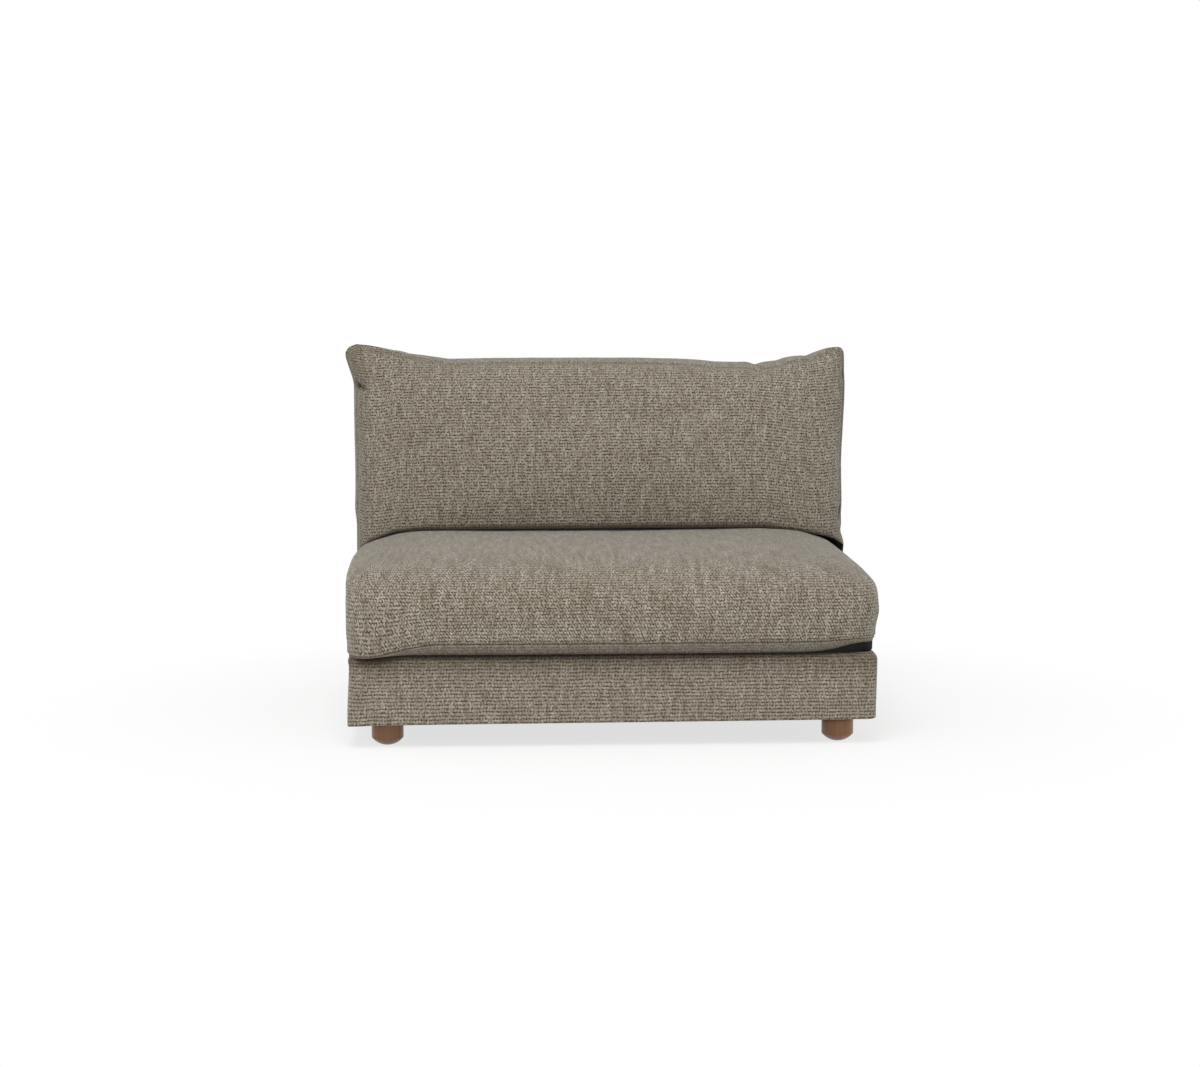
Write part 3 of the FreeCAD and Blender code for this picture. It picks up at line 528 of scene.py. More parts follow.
SEAT_SHOULDER, SEAT_SEAM, SEAT_LINING = 0.74, 0.118, 0.013
SEAT_HALF_WIDTH = 580 * MM
SEAT_DISH = 3 * MM
SHOULDER_BULGE, SHOULDER_WEAR = 16 * MM, 7 * MM
FRONT_BOW, SIDE_BOW = 9 * MM, 5 * MM
SEAM_DROP = 21 * MM
DROP_HEIGHT, DROP_SHARE = np.array((0, 2.7, 25, 120)) * MM, (0, 0, 1, 0)
CORNER_DROOP, CORNER_REACH = 8 * MM, 10 * MM
# the right end rises off the deck, most of all low down
LIFT_X = np.array((0.40, 0.445, 0.48, 0.513, 0.54, 0.568, 0.585))
LIFT_Z = np.array((0, 2, 8, 17, 20.5, 18, 14)) * MM
LIFT_HEIGHT, LIFT_SHARE = np.array((0, 1.5, 25, 60)) * MM, (0.0, 1.0, 0.3, 0.0)
WELT_DEPTH, WELT_WIDTH = 2.5 * MM, 4 * MM
SEAT_FOLDS = (((-0.590, -0.40, 0.335), (-0.50, -0.38, 0.352), 14 * MM, 5 * MM),
              ((-0.585, -0.38, 0.245), (-0.54, -0.47, 0.215), 12 * MM, 4 * MM),
              ((0.585, -0.40, 0.30), (0.50, -0.45, 0.335), 18 * MM, 4 * MM),
              ((0.585, -0.43, 0.262), (0.48, -0.475, 0.245), 12 * MM, 3 * MM))
# painted shade under the front roll and above the deck, by height over the front seam
SEAM_SHADE_HEIGHT = np.array((-24, -19, -12, -2, 0, 2, 10, 22)) * MM
SEAM_SHADE = (0.85, 0.42, 0.1, 0.0, 0.32, 0.1, 0.05, 0.0)
SEAT_ZIP_Z = (SEAT_ZIP_LOW.z + SEAT_ZIP_HIGH.z) / 2


def seat_place(x, y, level, crown):
    """Seat ring coordinates to the frame, with the cushion's bulges and slack."""
    z = SEAT_LOW.z + level * SEAT_HEIGHT - SEAT_DISH * crown * (1 - ramp(y, 0.05, 0.25))
    front = 1 - ramp(y, -0.47, -0.25)
    # the left shoulder is fuller towards the front
    shoulder = bump_at(level, 0.93, 0.07) * (1 - ramp(y, -0.15, 0.12)) * ramp(-x, 0.30, 0.50)
    x = x - SHOULDER_BULGE * shoulder
    # the front and the sides bow out
    y = y - FRONT_BOW * (1 - (x / SEAT_HALF_WIDTH) ** 2) * (1 - ramp(y, -0.45, -0.30))
    along_side = np.clip((y + 0.08) / 0.42, -1, 1)
    x = x + np.sign(x) * SIDE_BOW * ramp(np.abs(x), 0.45, 0.57) * (1 - along_side ** 2)
    low = 1 - ramp(z, SEAT_LOW.z, SEAT_LOW.z + 0.13)
    # at the left front corner the seam runs down to the deck, and the face goes all the way
    at_corner = ramp(-x, 0.38, 0.53) * (1 - ramp(y, -0.40, -0.20))
    z = z - SEAM_DROP * at_corner * np.interp(z - SEAT_LOW.z, DROP_HEIGHT, DROP_SHARE)
    # the right end rises, and the left corner hangs over the edge
    lift = np.interp(x, LIFT_X, LIFT_Z) * (1 - ramp(y, -0.40, 0.05))
    z = z + lift * np.interp(z - SEAT_LOW.z, LIFT_HEIGHT, LIFT_SHARE)
    droop = (1 - ramp(x, -0.575, -0.44)) * front * low
    z = z - CORNER_DROOP * droop
    y = y - CORNER_REACH * droop
    # the left shoulder is worn lower under the back cushion
    worn = ramp(-x, 0.43, 0.53) * ramp(y, -0.08, 0.08) * ramp(z, SEAT_LOW.z + 0.09, SEAT_LOW.z + 0.17)
    return np.stack([x, y, z - SHOULDER_WEAR * worn], -1)


def seat_top_cloth(top, ring_x, ring_y):
    """The seat top's places in the cloth. Its ribs run straight across, as along its middle lines."""
    mid_a, mid_b = top.shape[1] // 2, top.shape[0] // 2
    over = np.interp(ring_x, ring_x[mid_b], travelled(top, 1, mid_a)[mid_b]) - ring_x
    across = ring_x + over * ramp(ring_y, SEAT_LOW.y + 0.03, SEAT_LOW.y + 0.15)
    return np.stack([across, np.interp(ring_y, ring_y[:, mid_a], travelled(top, 0, 0)[:, mid_a])], -1)


def welt_groove(points, away):
    """The groove beside the welt, which runs round the sides and the rear."""
    return -WELT_DEPTH * bump_at(away, 0, WELT_WIDTH) * ramp(points[..., 1], -0.42, -0.30)


def seat_cushion():
    """The seat cushion's woven cover, with its lower front seam, the smooth strip under it, and a black band
    at its foot that is painted contact shadow.
    """
    form = Form(SEAT_LEVELS, SEAT_LEFT, SEAT_RIGHT, SEAT_FRONT, SEAT_REAR, SEAT_CORNERS, SEAT_CENTRE_Y,
                seat_place)
    a_line, b_line = form.lines(SEAT_SHOULDER, 140, 96)
    top, reach, rings = form.panel(SEAT_SHOULDER, 1.0, a_line, b_line)
    levels = np.concatenate([SEAT_SHOULDER - np.array((0, 0.014, 0.03)),
                             np.linspace(SEAT_SHOULDER - 0.06, SEAT_SEAM + 0.06, 15),
                             SEAT_SEAM + np.array((0.03, 0.016, 0.007, 0, -0.006, -0.014, -0.026, -0.045)),
                             (0.05, 0.034, 0.022, SEAT_LINING, 0.007, 0.0)])
    wall = form.wall(levels, a_line, b_line)
    bottom = closing_panel(wall[-1], a_line, b_line)
    cloth = wall_cloth(wall, -1)
    x, y, z = wall[..., 0], wall[..., 1], wall[..., 2]
    # the seam along the lower front: a groove between two rolls, shallower at the right end
    over_seam = ((levels - SEAT_SEAM) * SEAT_HEIGHT)[:, None]
    seam_groove = -3.0 * MM + 2.0 * MM * ramp(x, 0.50, 0.56)
    push = (welt_groove(wall, cloth[..., 1]) + folded(wall, SEAT_FOLDS)
            + seam_groove * bump_at(over_seam, 1 * MM, 2.0 * MM)
            + 1.8 * MM * bump_at(over_seam, 8 * MM, 5 * MM)
            + 1.2 * MM * bump_at(over_seam, -3.5 * MM, 2.0 * MM))
    # along the zip the rear band is held flat, a little under the tape
    beside_zip = np.maximum(np.abs(z - SEAT_ZIP_Z) - 14 * MM, 0)
    at_zip = (ramp(y, SEAT_HIGH.y - 10 * MM, SEAT_HIGH.y - 3 * MM) * (1 - ramp(np.abs(x), 0.46, 0.50))
              * bump_at(beside_zip, 0, 9 * MM))
    push -= 0.4 * MM * at_zip
    slack = 2.2 * MM * ramp(levels, 0.0, 0.3)[:, None] * (1 - at_zip)
    # painted shade: the face under the front roll and the strip above the deck are darkened as if they lay in
    # shade
    dull = np.interp(over_seam, SEAM_SHADE_HEIGHT, SEAM_SHADE)
    # painted shade: the lowest 3 mm of the wall is black lining, which stands in for the contact shadow on
    # the deck
    strip, lining = (int(np.argmin(np.abs(levels - level))) for level in (SEAT_SEAM, SEAT_LINING))
    obj = weld("seat_cushion_woven_cover", [
        patch(top, seat_top_cloth(top, *rings), welt_groove(top, reach) + folded(top, SEAT_FOLDS),
              2.4 * MM * ramp(reach, 0, 0.05)),
        *(patch(wall[part], cloth[part], push[part], slack[part], dull[part], flipped=True, slot=slot)
          for part, slot in ((slice(0, strip + 1), 0), (slice(strip, lining + 1), 2),
                             (slice(lining, None), 1))),
        patch(bottom, bottom[..., :2], flipped=True, slot=1)])
    finished(obj, "seat_cushion", [SEAT_WEAVE, LINING, SHADED_TURNED_WEAVE], "face_fabric",
             "seat_cushion_cover", "seat_cushion_fibre_wrap")


# Back cushion: a boxed pillow with horned top corners, and drooping feet that are lined in black below. That
# black also stands in for the shade in the gaps at its ends, as painted shade.
# Its rings go from the front to the rear, and the shares are of its depth.
RING_SHARES = (0.0, 0.02, 0.06, 0.12, 0.2, 0.28, 0.45, 0.65, 0.86, 0.94, 1.0)
RING_INSETS = np.array((170, 110, 62, 32, 13, 6, 5, 5, 8, 20, 60)) * MM
BOTTOM_INSETS = np.array((17, 11, 6, 2.5, 1, 0, 0, 0, 0, 5, 18)) * MM
HORN_SHARES = (0.1, 0.12, 0.2, 0.4, 0.75, 1.0, 0.75, 0.7, 0.65, 0.35, 0.1)
PILLOW_LEFT, PILLOW_RIGHT = -590 * MM, 589 * MM
PILLOW_HEIGHT, PILLOW_DEPTH = 402 * MM, 236 * MM
PILLOW_CORNERS = (8 * MM, 16 * MM)
PILLOW_CENTRE = 160 * MM
PILLOW_BELLY, FRONT_CROWN = 7 * MM, 9 * MM
PILLOW_Z0 = SEAT_HIGH.z + 0.5 * MM
# the pillow leans on the back unit, whose front is at this depth on the deck
BACK_FRONT_AT_DECK, LEANING_GAP = 330 * MM, 0.3 * MM
PILLOW_REAR = BACK_FRONT_AT_DECK - LEANING_GAP + (SEAT_HIGH.z - DECK_HIGH.z) * BACK_RAKE
# how the pillow's face leans, and its boxing behind the front seam
FRONT_LEAN, BOXING_LEAN = 0.215, 0.17
FRONT_SEAM, REAR_SEAM = 0.26, 0.87
PILLOW_SEAM_DEPTH, PILLOW_SEAM_WIDTH = 3 * MM, 4 * MM
PILLOW_SLACK = 2.6 * MM
HORN_REACH, EDGE_LEAN, FOOT_FLARE = 26 * MM, 9 * MM, 6 * MM
ZIP_RISE = 8.9 * MM
# the line of the top edge between the horns
TOP_X = np.array((-600, -575, -560, -535, -515, -497, -478, -459, -420, -382, -363, -268, -90, 90, 190, 247,
                  285, 340, 362, 376, 384, 392, 404, 420, 438, 457, 476, 495, 506, 514, 533, 552, 590)) * MM
TOP_Z = np.array((27, 36, 42, 39, 32, 25, 21, 13, 6, -2, -6, -4, -3, -4, -8, -12, -17, -18, -17, -24, -28,
                  -24, -19, -16, -13, -4, 1, 3, 1, 8, 19, 29, 36)) * MM
# the line of the seat's shoulders, which the feet follow
SHOULDER_X = np.array((-600, -581, -569, -542, -511, -487, -420, 380, 426, 479, 510, 544, 565, 575, 585,
                       600)) * MM
SHOULDER_Z = np.array((-59, -54, -41, -25, -14, -7, -3, 0, -5, -11, -17, -23, -31, -40, -48, -52)) * MM
# puckers where the fill is pulled in, seen from the front: start, end, width, depth and how much painted
# shade darkens them
PUCKERS = (((-0.600, 0.763), (-0.562, 0.748), 8 * MM, 9 * MM, 1.6),
           ((0.597, 0.803), (0.593, 0.770), 5 * MM, 3 * MM, 1.6),
           ((0.588, 0.474), (0.574, 0.434), 6 * MM, 5 * MM, 1.6),
           ((0.592, 0.421), (0.583, 0.396), 6 * MM, 5 * MM, 1.5))
# folds under the left horn, and at the notches of the top seam
PILLOW_FOLDS = (((-0.585, 0.22, 0.745), (-0.530, 0.18, 0.770), 16 * MM, 5 * MM),
                ((0.386, 0.24, 0.815), (0.350, 0.19, 0.760), 16 * MM, 4 * MM),
                ((0.506, 0.24, 0.830), (0.470, 0.19, 0.770), 14 * MM, 5 * MM),
                ((-0.40, 0.21, 0.800), (-0.52, 0.18, 0.730), 24 * MM, 4 * MM))
# painted shade, by height over the foot, where the seat shades it, and by place along the pillow, darker at
# its ends
FOOT_SHADE_HEIGHT = (0.0, 0.004, 0.010, 0.022, 0.046, 0.094, 0.15)
FOOT_SHADE = (0.7, 0.5, 0.3, 0.20, 0.12, 0.05, 0.0)
END_SHADE_X = (-0.595, -0.575, -0.548, -0.40, -0.22, 0.576, 0.588)
END_SHADE = (0.34, 0.28, 0.08, 0.07, 0.0, 0.0, 0.3)


def zip_tuck(x, share):
    """1 along the zip under the back cushion, 0 away from it."""
    return ramp(share, 0.42, 0.48) * (1 - ramp(share, 0.63, 0.69)) * (1 - ramp(np.abs(x), 0.405, 0.43))


def pillow_place(x, q, share, crown):
    """Back cushion ring coordinates to the frame: share is the depth from the front, q the height."""
    horn = np.interp(share, RING_SHARES, HORN_SHARES)
    up = q / PILLOW_HEIGHT
    # the top edge sags between the horns
    z = q + np.interp(x, TOP_X, TOP_Z) * horn * ramp(up, 0.5, 1.0) ** 1.5
    left, right = ramp(-x, 0.46, 0.585), ramp(x, 0.46, 0.585)
    x = x - HORN_REACH * left * ramp(up, 0.80, 0.97) * horn
    x = x + EDGE_LEAN * right * ramp(up, 0.30, 0.85)
    x = x + np.where(x < 0, 3, -2) * MM * ramp(np.abs(x), 0.40, 0.582) * bump_at(up, 0.35, 0.25)
    x = x + FOOT_FLARE * right * (1 - ramp(up, 0.0, 0.10))
    # the feet follow the seat's shoulders and hang over them
    at_zip = zip_tuck(x, share) * (1 - ramp(up, 0.0, 0.04))
    z = z + np.interp(x, SHOULDER_X, SHOULDER_Z) * (1 - ramp(up, 0.0, 0.45)) * (1 - at_zip)
    # and the black underside bags out below the woven front there, as painted shade for the gap over the
    # shoulder
    bag = ramp(share, 0.27, 0.40) * (1 - ramp(share, 0.70, 0.85)) * (1 - ramp(up, 0.0, 0.06))
    z = z - (10 * ramp(x, 0.51, 0.545) + 22 * ramp(x, 0.545, 0.575) + 14 * ramp(-x, 0.555, 0.58)) * MM * bag
    # the zip strip is drawn up under the middle
    z = z + ZIP_RISE * at_zip
    lean = FRONT_LEAN + (BACK_RAKE - FRONT_LEAN) * share
    fullness = FRONT_CROWN * crown * np.where(share < 0.5, 1, 0)
    y = PILLOW_REAR - PILLOW_DEPTH * (1 - share) + lean * q + fullness
    return np.stack([x, y, PILLOW_Z0 + z], -1)


def pinched(points, start, end, width, depth):
    """A pucker as seen from the front: it runs from the boxing over the front seam on to the face."""
    leaning = BOXING_LEAN * (points[..., 2] - PILLOW_Z0)
    behind = 1 - (PILLOW_REAR + leaning - points[..., 1]) / PILLOW_DEPTH
    return crease(points[..., [0, 2]], start, end, width, depth) * (1 - ramp(behind, 0.27, 0.50))


def pillow_shade(points, from_seam):
    """How much painted shade the pillow gets: at its foot and ends, in its puckers and along its seams."""
    x, z = points[..., 0], points[..., 2]
    lowest = PILLOW_Z0 + np.interp(x, SHOULDER_X, SHOULDER_Z)
    shades = [np.interp(z - lowest, FOOT_SHADE_HEIGHT, FOOT_SHADE), np.interp(x, END_SHADE_X, END_SHADE),
              0.3 * bump_at(from_seam, 0, 3.5 * MM)]
    shades += [-pinched(points, start, end, 0.7 * width, dark) for start, end, width, _, dark in PUCKERS]
    dull = shades[0]
    for shade in shades[1:]:
        dull = np.maximum(dull, shade)
    return np.minimum(dull, 1)


def pillow_push(points, outward):
    """How far the pillow's points stand out, with its puckers and folds taken off."""
    return outward + sum(pinched(points, *pucker[:4]) for pucker in PUCKERS) + folded(points, PILLOW_FOLDS)


def back_cushion():
    """The back cushion's woven cover, boxed between its front and rear seams."""
    form = Form(RING_SHARES, PILLOW_LEFT + RING_INSETS, PILLOW_RIGHT - RING_INSETS, BOTTOM_INSETS,
                PILLOW_HEIGHT - RING_INSETS * 0.8, PILLOW_CORNERS, PILLOW_CENTRE, pillow_place)
    a_line, b_line = form.lines(FRONT_SEAM, 160, 64)
    patches = []
    mid = len(a_line) // 2
    for seam, end, flipped in ((FRONT_SEAM, 0.0, False), (REAR_SEAM, 1.0, True)):
        panel, reach, _ = form.panel(seam, end, a_line, b_line)
        push = pillow_push(panel, -PILLOW_SEAM_DEPTH * bump_at(reach, 0, PILLOW_SEAM_WIDTH))
        patches.append(patch(panel, np.stack([travelled(panel, 1, mid), travelled(panel, 0, 0)], -1), push,
                             PILLOW_SLACK * ramp(reach, 0, 0.05), pillow_shade(panel, reach), flipped))
    shares = np.concatenate([FRONT_SEAM + np.array((0, 0.012, 0.026)),
                             np.linspace(FRONT_SEAM + 0.05, REAR_SEAM - 0.05, 12),
                             REAR_SEAM - np.array((0.026, 0.012, 0))])
    wall = form.wall(shares, a_line, b_line)
    cloth = wall_cloth(wall, 1)
    # the boxing bellies out between its seams, but not where it lies on the seat
    from_front, from_rear = (shares - FRONT_SEAM) * PILLOW_DEPTH, (REAR_SEAM - shares) * PILLOW_DEPTH
    belly = PILLOW_BELLY * np.sin(np.clip((shares - FRONT_SEAM) / (REAR_SEAM - FRONT_SEAM), 0, 1) * math.pi)
    grooves = sum(bump_at(away, 0, PILLOW_SEAM_WIDTH) for away in (from_front, from_rear))
    above = ramp(wall[..., 2], PILLOW_Z0, PILLOW_Z0 + 50 * MM)
    push = pillow_push(wall, belly[:, None] * above - PILLOW_SEAM_DEPTH * grooves[:, None])
    below = 1 - ramp(wall[..., 2], PILLOW_Z0 + 10 * MM, PILLOW_Z0 + 30 * MM)
    slack = PILLOW_SLACK * 0.5 * (1 - below * zip_tuck(wall[..., 0], shares[:, None]))
    dull = pillow_shade(wall, np.minimum(from_front, from_rear)[:, None])
    # the wall in parts: its underside is black lining at both feet, which also stands in for the shade there
    right_end, left_end = len(a_line) - mid - 1, wall.shape[1] - 1 - mid
    lined = int(np.sum(a_line > 0.9))
    cuts = (0, right_end - lined, right_end, left_end, left_end + lined, wall.shape[1] - 1)
    for start, end, slot in zip(cuts, cuts[1:], (0, 1, 0, 1, 0)):
        part = slice(start, end + 1)
        layers = (layer[:, part] for layer in (wall, cloth, push, slack, dull))
        patches.append(patch(*layers, flipped=True, slot=slot))
    # the rear panel is welded last
    patches.append(patches.pop(1))
    obj = weld("back_cushion_woven_cover", patches)
    finished(obj, "back_cushion", [BACK_WEAVE, LINING], "face_fabric",
             "back_cushion_cover", "back_cushion_feather_insert")


# Base and back unit: padded boxes, with a seam round the outside back panel and a turned hem below
REAR_SEAM_LINES = np.array((3, 6, 9, 11, 13, 15, 17, 20, 24)) * MM
REAR_GROOVE, REAR_ROLL = 2.2 * MM, 0.9 * MM
# how far the skirt hangs down along the front, in mm
SKIRT_X, SKIRT_SAG = (-0.585, -0.57, -0.53, -0.40, 0.30, 0.58), (11, 7, 5, 4, 1.5, 0)
DECK_DIP = 3 * MM
LINING_REBATE = 1.3 * MM
# the base's woven cover ends in black lining above this share of its height
BLACK_FROM = 0.99


def from_rear_seam(points, top):
    """How far a point of the rear face is from the seam round the outside back panel."""
    x, y, z = points[..., 0], points[..., 1], points[..., 2]
    beside, above = np.abs(x) - (BACK_HIGH.x - 14 * MM), z - (top - 16 * MM)
    outside = np.hypot(np.maximum(beside, 0), np.maximum(above, 0))
    away = np.where((beside < 0) & (above < 0), -np.maximum(beside, above), outside)
    return np.where(y > BACK_HIGH.y - 8 * MM, away, 1.0)


def rounded_edges(height, round_top, round_bottom, steps=6):
    """Levels and insets of a wall with rounded edges above and below."""
    turns = np.linspace(0, math.pi / 2, steps + 1)
    heights = np.concatenate([round_bottom * (1 - np.cos(turns)), height - round_top * (1 - np.sin(turns))])
    insets = np.concatenate([round_bottom * (1 - np.sin(turns)), round_top * (1 - np.cos(turns))])
    return heights / height, insets


def padded_box(name, low, high, round_top, round_bottom, corner, place, slack, counts, black_top=False,
               hem=0.0, rib_stretch=1.0, painted_shade=None, top_dip=None, wall_push=None):
    """A closed box skin with soft edges. The cloth's ribs run round its walls."""
    levels, insets = rounded_edges(high.z - low.z, round_top, round_bottom)
    form = Form(levels, low.x + insets, high.x - insets, low.y + insets, high.y - insets, (corner, corner),
                (low.y + high.y) / 2, place)
    a_line, b_line = form.lines(0.5, *counts, REAR_SEAM_LINES)
    left, right, front, rear = form.ring(0.5)
    foot, crest = (place(np.zeros(1), np.zeros(1), np.full(1, level), None)[0, 2] for level in (0.0, 1.0))
    under_top = 1 - REAR_SEAM_LINES[3:] / (crest - foot)
    rows = np.unique(np.concatenate([levels, under_top, np.linspace(0.15, 0.85, 14)]))[::-1]
    wall = form.wall(rows, a_line, b_line)
    top, bottom = closing_panel(wall[0], a_line, b_line), closing_panel(wall[-1], a_line, b_line)
    # the cover turns under as a hem, and inside that it lies on the frame
    inside = np.minimum((1 - np.abs(a_line))[None, :] * (right - left),
                        (1 - np.abs(b_line))[:, None] * (rear - front))
    bottom[..., 2] += (low.z + hem - bottom[..., 2]) * ramp(inside / 2, 2 * MM, 9 * MM)
    seam = from_rear_seam(wall, wall[0, 0, 2])
    push = -REAR_GROOVE * bump_at(seam, 0, 2.2 * MM) + REAR_ROLL * bump_at(seam, 5 * MM, 3 * MM)
    if wall_push:
        push = push + wall_push(wall)
    if top_dip:
        top[..., 2] -= top_dip(top)
    # painted shade along the groove of the rear seam, and under overhangs where the caller gives it
    dull = 0.4 * bump_at(seam, 0, 2.5 * MM)
    if painted_shade:
        dull = np.maximum(painted_shade(wall), dull)
    cloth = wall_cloth(wall, -1 / rib_stretch)
    calm = np.broadcast_to(slack * ramp(rows, 0.0, 0.25)[:, None], wall.shape[:2])
    split = int(np.sum(rows >= BLACK_FROM)) if black_top else 1
    parts = [(slice(0, split), 1)] if split > 1 else []
    parts.append((slice(split - 1, None), 0))
    return weld(name, [
        patch(top, top[..., :2], slot=int(black_top)), patch(bottom, bottom[..., :2], flipped=True),
        *(patch(wall[part], cloth[part], push[part], calm[part], dull[part], flipped=True, slot=slot)
          for part, slot in parts)])


def base_place(x, y, level, crown):
    """Base ring coordinates to the frame. The skirt hangs lowest at the left."""
    low = 1 - ramp(level, 0.0, 0.9)
    x = x + np.where(x < 0, -1 - 4.5 * low, 1.5 - 3 * low) * MM * ramp(np.abs(x), 0.3, 0.57)
    z = BASE_LOW.z + level * (BASE_HIGH.z - BASE_LOW.z)
    sag = np.interp(x, SKIRT_X, SKIRT_SAG) * MM
    x = x - 5 * MM * ramp(-x, 0.54, 0.575) * bump_at(level, 0.97, 0.08)
    # the padding stands up at the right front corner, where no cushion presses it down
    z = z + 0.5 * MM * ramp(x, 0.42, 0.50) * (1 - ramp(y, -0.42, -0.20)) * ramp(level, 0.8, 1.0)
    return np.stack([x, y, z - sag * (1 - ramp(level, 0.0, 0.5)) * (1 - ramp(y, 0.2, 0.45))], -1)


def under_overhang(points):
    """Painted shadow of the seat cushion's overhang on the base: most along its top roll, more to the left,
    none 60 mm lower.
    """
    x, below = points[..., 0], BASE_HIGH.z - points[..., 2]
    corner = bump_at(x, -0.53, 0.05) * np.interp(below, (0.0, 0.012, 0.026), (0.4, 0.3, 0.0))
    roll = np.interp(below, (0, 0.008, 0.020, 0.036, 0.062), (0.55, 0.47, 0.40, 0.18, 0.0))
    return corner + roll * np.interp(x, (-0.58, -0.45, 0.1), (1.2, 1.05, 0.95))


def deck_well(points):
    """How far the base's top dips under the deck cloth."""
    x, y = points[..., 0], points[..., 1]
    inside = np.minimum(BASE_HIGH.x - np.abs(x), y - BASE_LOW.y)
    before_rear = 1 - ramp(y, DECK_HIGH.y - 9 * MM, DECK_HIGH.y - 1 * MM)
    return DECK_DIP * ramp(inside, 11 * MM, 19 * MM) * before_rear


def base_cover():
    """The base's woven cover, with a generous roll along its top edge and a dip under the deck cloth."""
    obj = padded_box("base_woven_cover", BASE_LOW, BASE_HIGH, 18 * MM, 3 * MM, 22 * MM, base_place, 1.0 * MM,
                     (130, 100), black_top=True, hem=0.4 * MM, rib_stretch=1.07, painted_shade=under_overhang,
                     top_dip=deck_well)
    finished(obj, "sofa_frame", [BASE_WEAVE, LINING], "face_fabric", "base_cover", "rail_padding")


def back_unit_place(x, y, level, crown):
    """Back unit ring coordinates to the frame, leaning at the front."""
    z = BACK_LOW.z + level * (BACK_HIGH.z - BACK_LOW.z)
    share = (BACK_HIGH.y - y) / (BACK_HIGH.y - BACK_LOW.y)
    return np.stack([x, y + (z - BACK_LOW.z) * BACK_RAKE * share, z], -1)


def lining_rebate(points):
    """The back unit's front face stands back by the thickness of the lining on it."""
    x, y, z = points[..., 0], points[..., 1], points[..., 2]
    ahead = y < BACK_LOW.y + (z - BACK_LOW.z) * BACK_RAKE + 8 * MM
    inside = np.minimum(LINING_HIGH.x - np.abs(x), LINING_HIGH.z - z)
    return -LINING_REBATE * ahead * ramp(inside, -6 * MM, 0.0)


def back_unit_cover():
    """The back unit's woven cover."""
    obj = padded_box("back_unit_woven_cover", BACK_LOW, BACK_HIGH, 12 * MM, 3 * MM, 12 * MM, back_unit_place,
                     0.8 * MM, (120, 12), wall_push=lining_rebate)
    finished(obj, "sofa_frame", [BASE_WEAVE, LINING], "face_fabric", "back_cover", "back_padding")


# Thin cloths, each tacked round its rim
STAPLE_PITCH = 58 * MM
SHEET_GRID = 13 * MM


def rim_line(grid):
    """The outer points of a grid, once round and back to the first."""
    return np.concatenate([grid[0], grid[1:, -1], grid[-1, ::-1][1:], grid[::-1, 0][1:]])


def tacked_cloth(name, node, material, corner, along, up, thick, sag, with_pieces=()):
    """A thin sheet stretched over a frame, with small ripples between its staples and a slack middle."""
    corner, along, up = (np.array(v, float) for v in (corner, along, up))
    width, length = np.linalg.norm(along), np.linalg.norm(up)
    out = np.cross(along, up) / (width * length)
    s, t = np.meshgrid(*(np.linspace(0, 1, int(size / SHEET_GRID)) for size in (width, length)))
    from_side, from_end = np.minimum(s, 1 - s) * width, np.minimum(t, 1 - t) * length
    rim = np.minimum(from_side, from_end)
    round_rim = np.where(from_side < from_end, t * length, s * width)
    ripple = np.sin(2 * math.pi * round_rim / STAPLE_PITCH) * np.exp(-rim / (30 * MM)) * ramp(rim, 0, 8 * MM)
    lift = 0.35 * MM * ripple + sag * 16 * s * (1 - s) * t * (1 - t)
    middle = corner + s[..., None] * along + t[..., None] * up + lift[..., None] * out
    face, back = middle + out * thick / 2, middle - out * thick / 2
    places = np.stack([s * width, t * length], -1)
    edge, edge_places = np.stack([rim_line(face), rim_line(back)]), np.stack([rim_line(places)] * 2)
    obj = weld(name, [patch(face, places), patch(back, places, flipped=True),
                      patch(edge, edge_places, flipped=True)])
    finished(obj, "sofa_frame", [material], "lining_black", node)


def dust_cover_staples():
    """Wire staples that hold the dust cover: a crown with two short legs bent over, set a little askew."""
    bm = bmesh.new()
    inset, crown, radius = 9 * MM, 11 * MM, 0.45 * MM
    leg = ((0.0, 1.2 * MM), (0.5 * MM, 0.1 * MM), (1.2 * MM, -0.35 * MM))
    section = [(radius * math.cos(k * math.pi / 3), radius * math.sin(k * math.pi / 3)) for k in range(6)]
    path = [(a - crown / 2, rise) for a, rise in leg] + [(crown / 2 - a, rise) for a, rise in leg[::-1]]
    places = [(x, y, 0) for x in np.arange(DUST_LOW.x + 30 * MM, DUST_HIGH.x - 20 * MM, STAPLE_PITCH)
              for y in (DUST_LOW.y + inset, DUST_HIGH.y - inset)]
    places += [(x, y, 90) for y in np.arange(DUST_LOW.y + 40 * MM, DUST_HIGH.y - 30 * MM, STAPLE_PITCH)
               for x in (DUST_LOW.x + inset, DUST_HIGH.x - inset)]
    for number, (x, y, heading) in enumerate(places):
        turn = Matrix.Rotation(math.radians(heading + 14 * math.sin(number * 2.4)), 4, "Z")
        put_at = Matrix.Translation((x, y, DUST_LOW.z - 0.1 * MM)) @ turn
        bridge(bm, [[bm.verts.new(put_at @ Vector((a, side, rise + up))) for side, up in section]
                    for a, rise in path])
    bmesh.ops.recalc_face_normals(bm, faces=bm.faces)
    return finished(mesh_object("dust_cover_staples", bm, smooth=True), "sofa_frame", [ZINC], "steel")


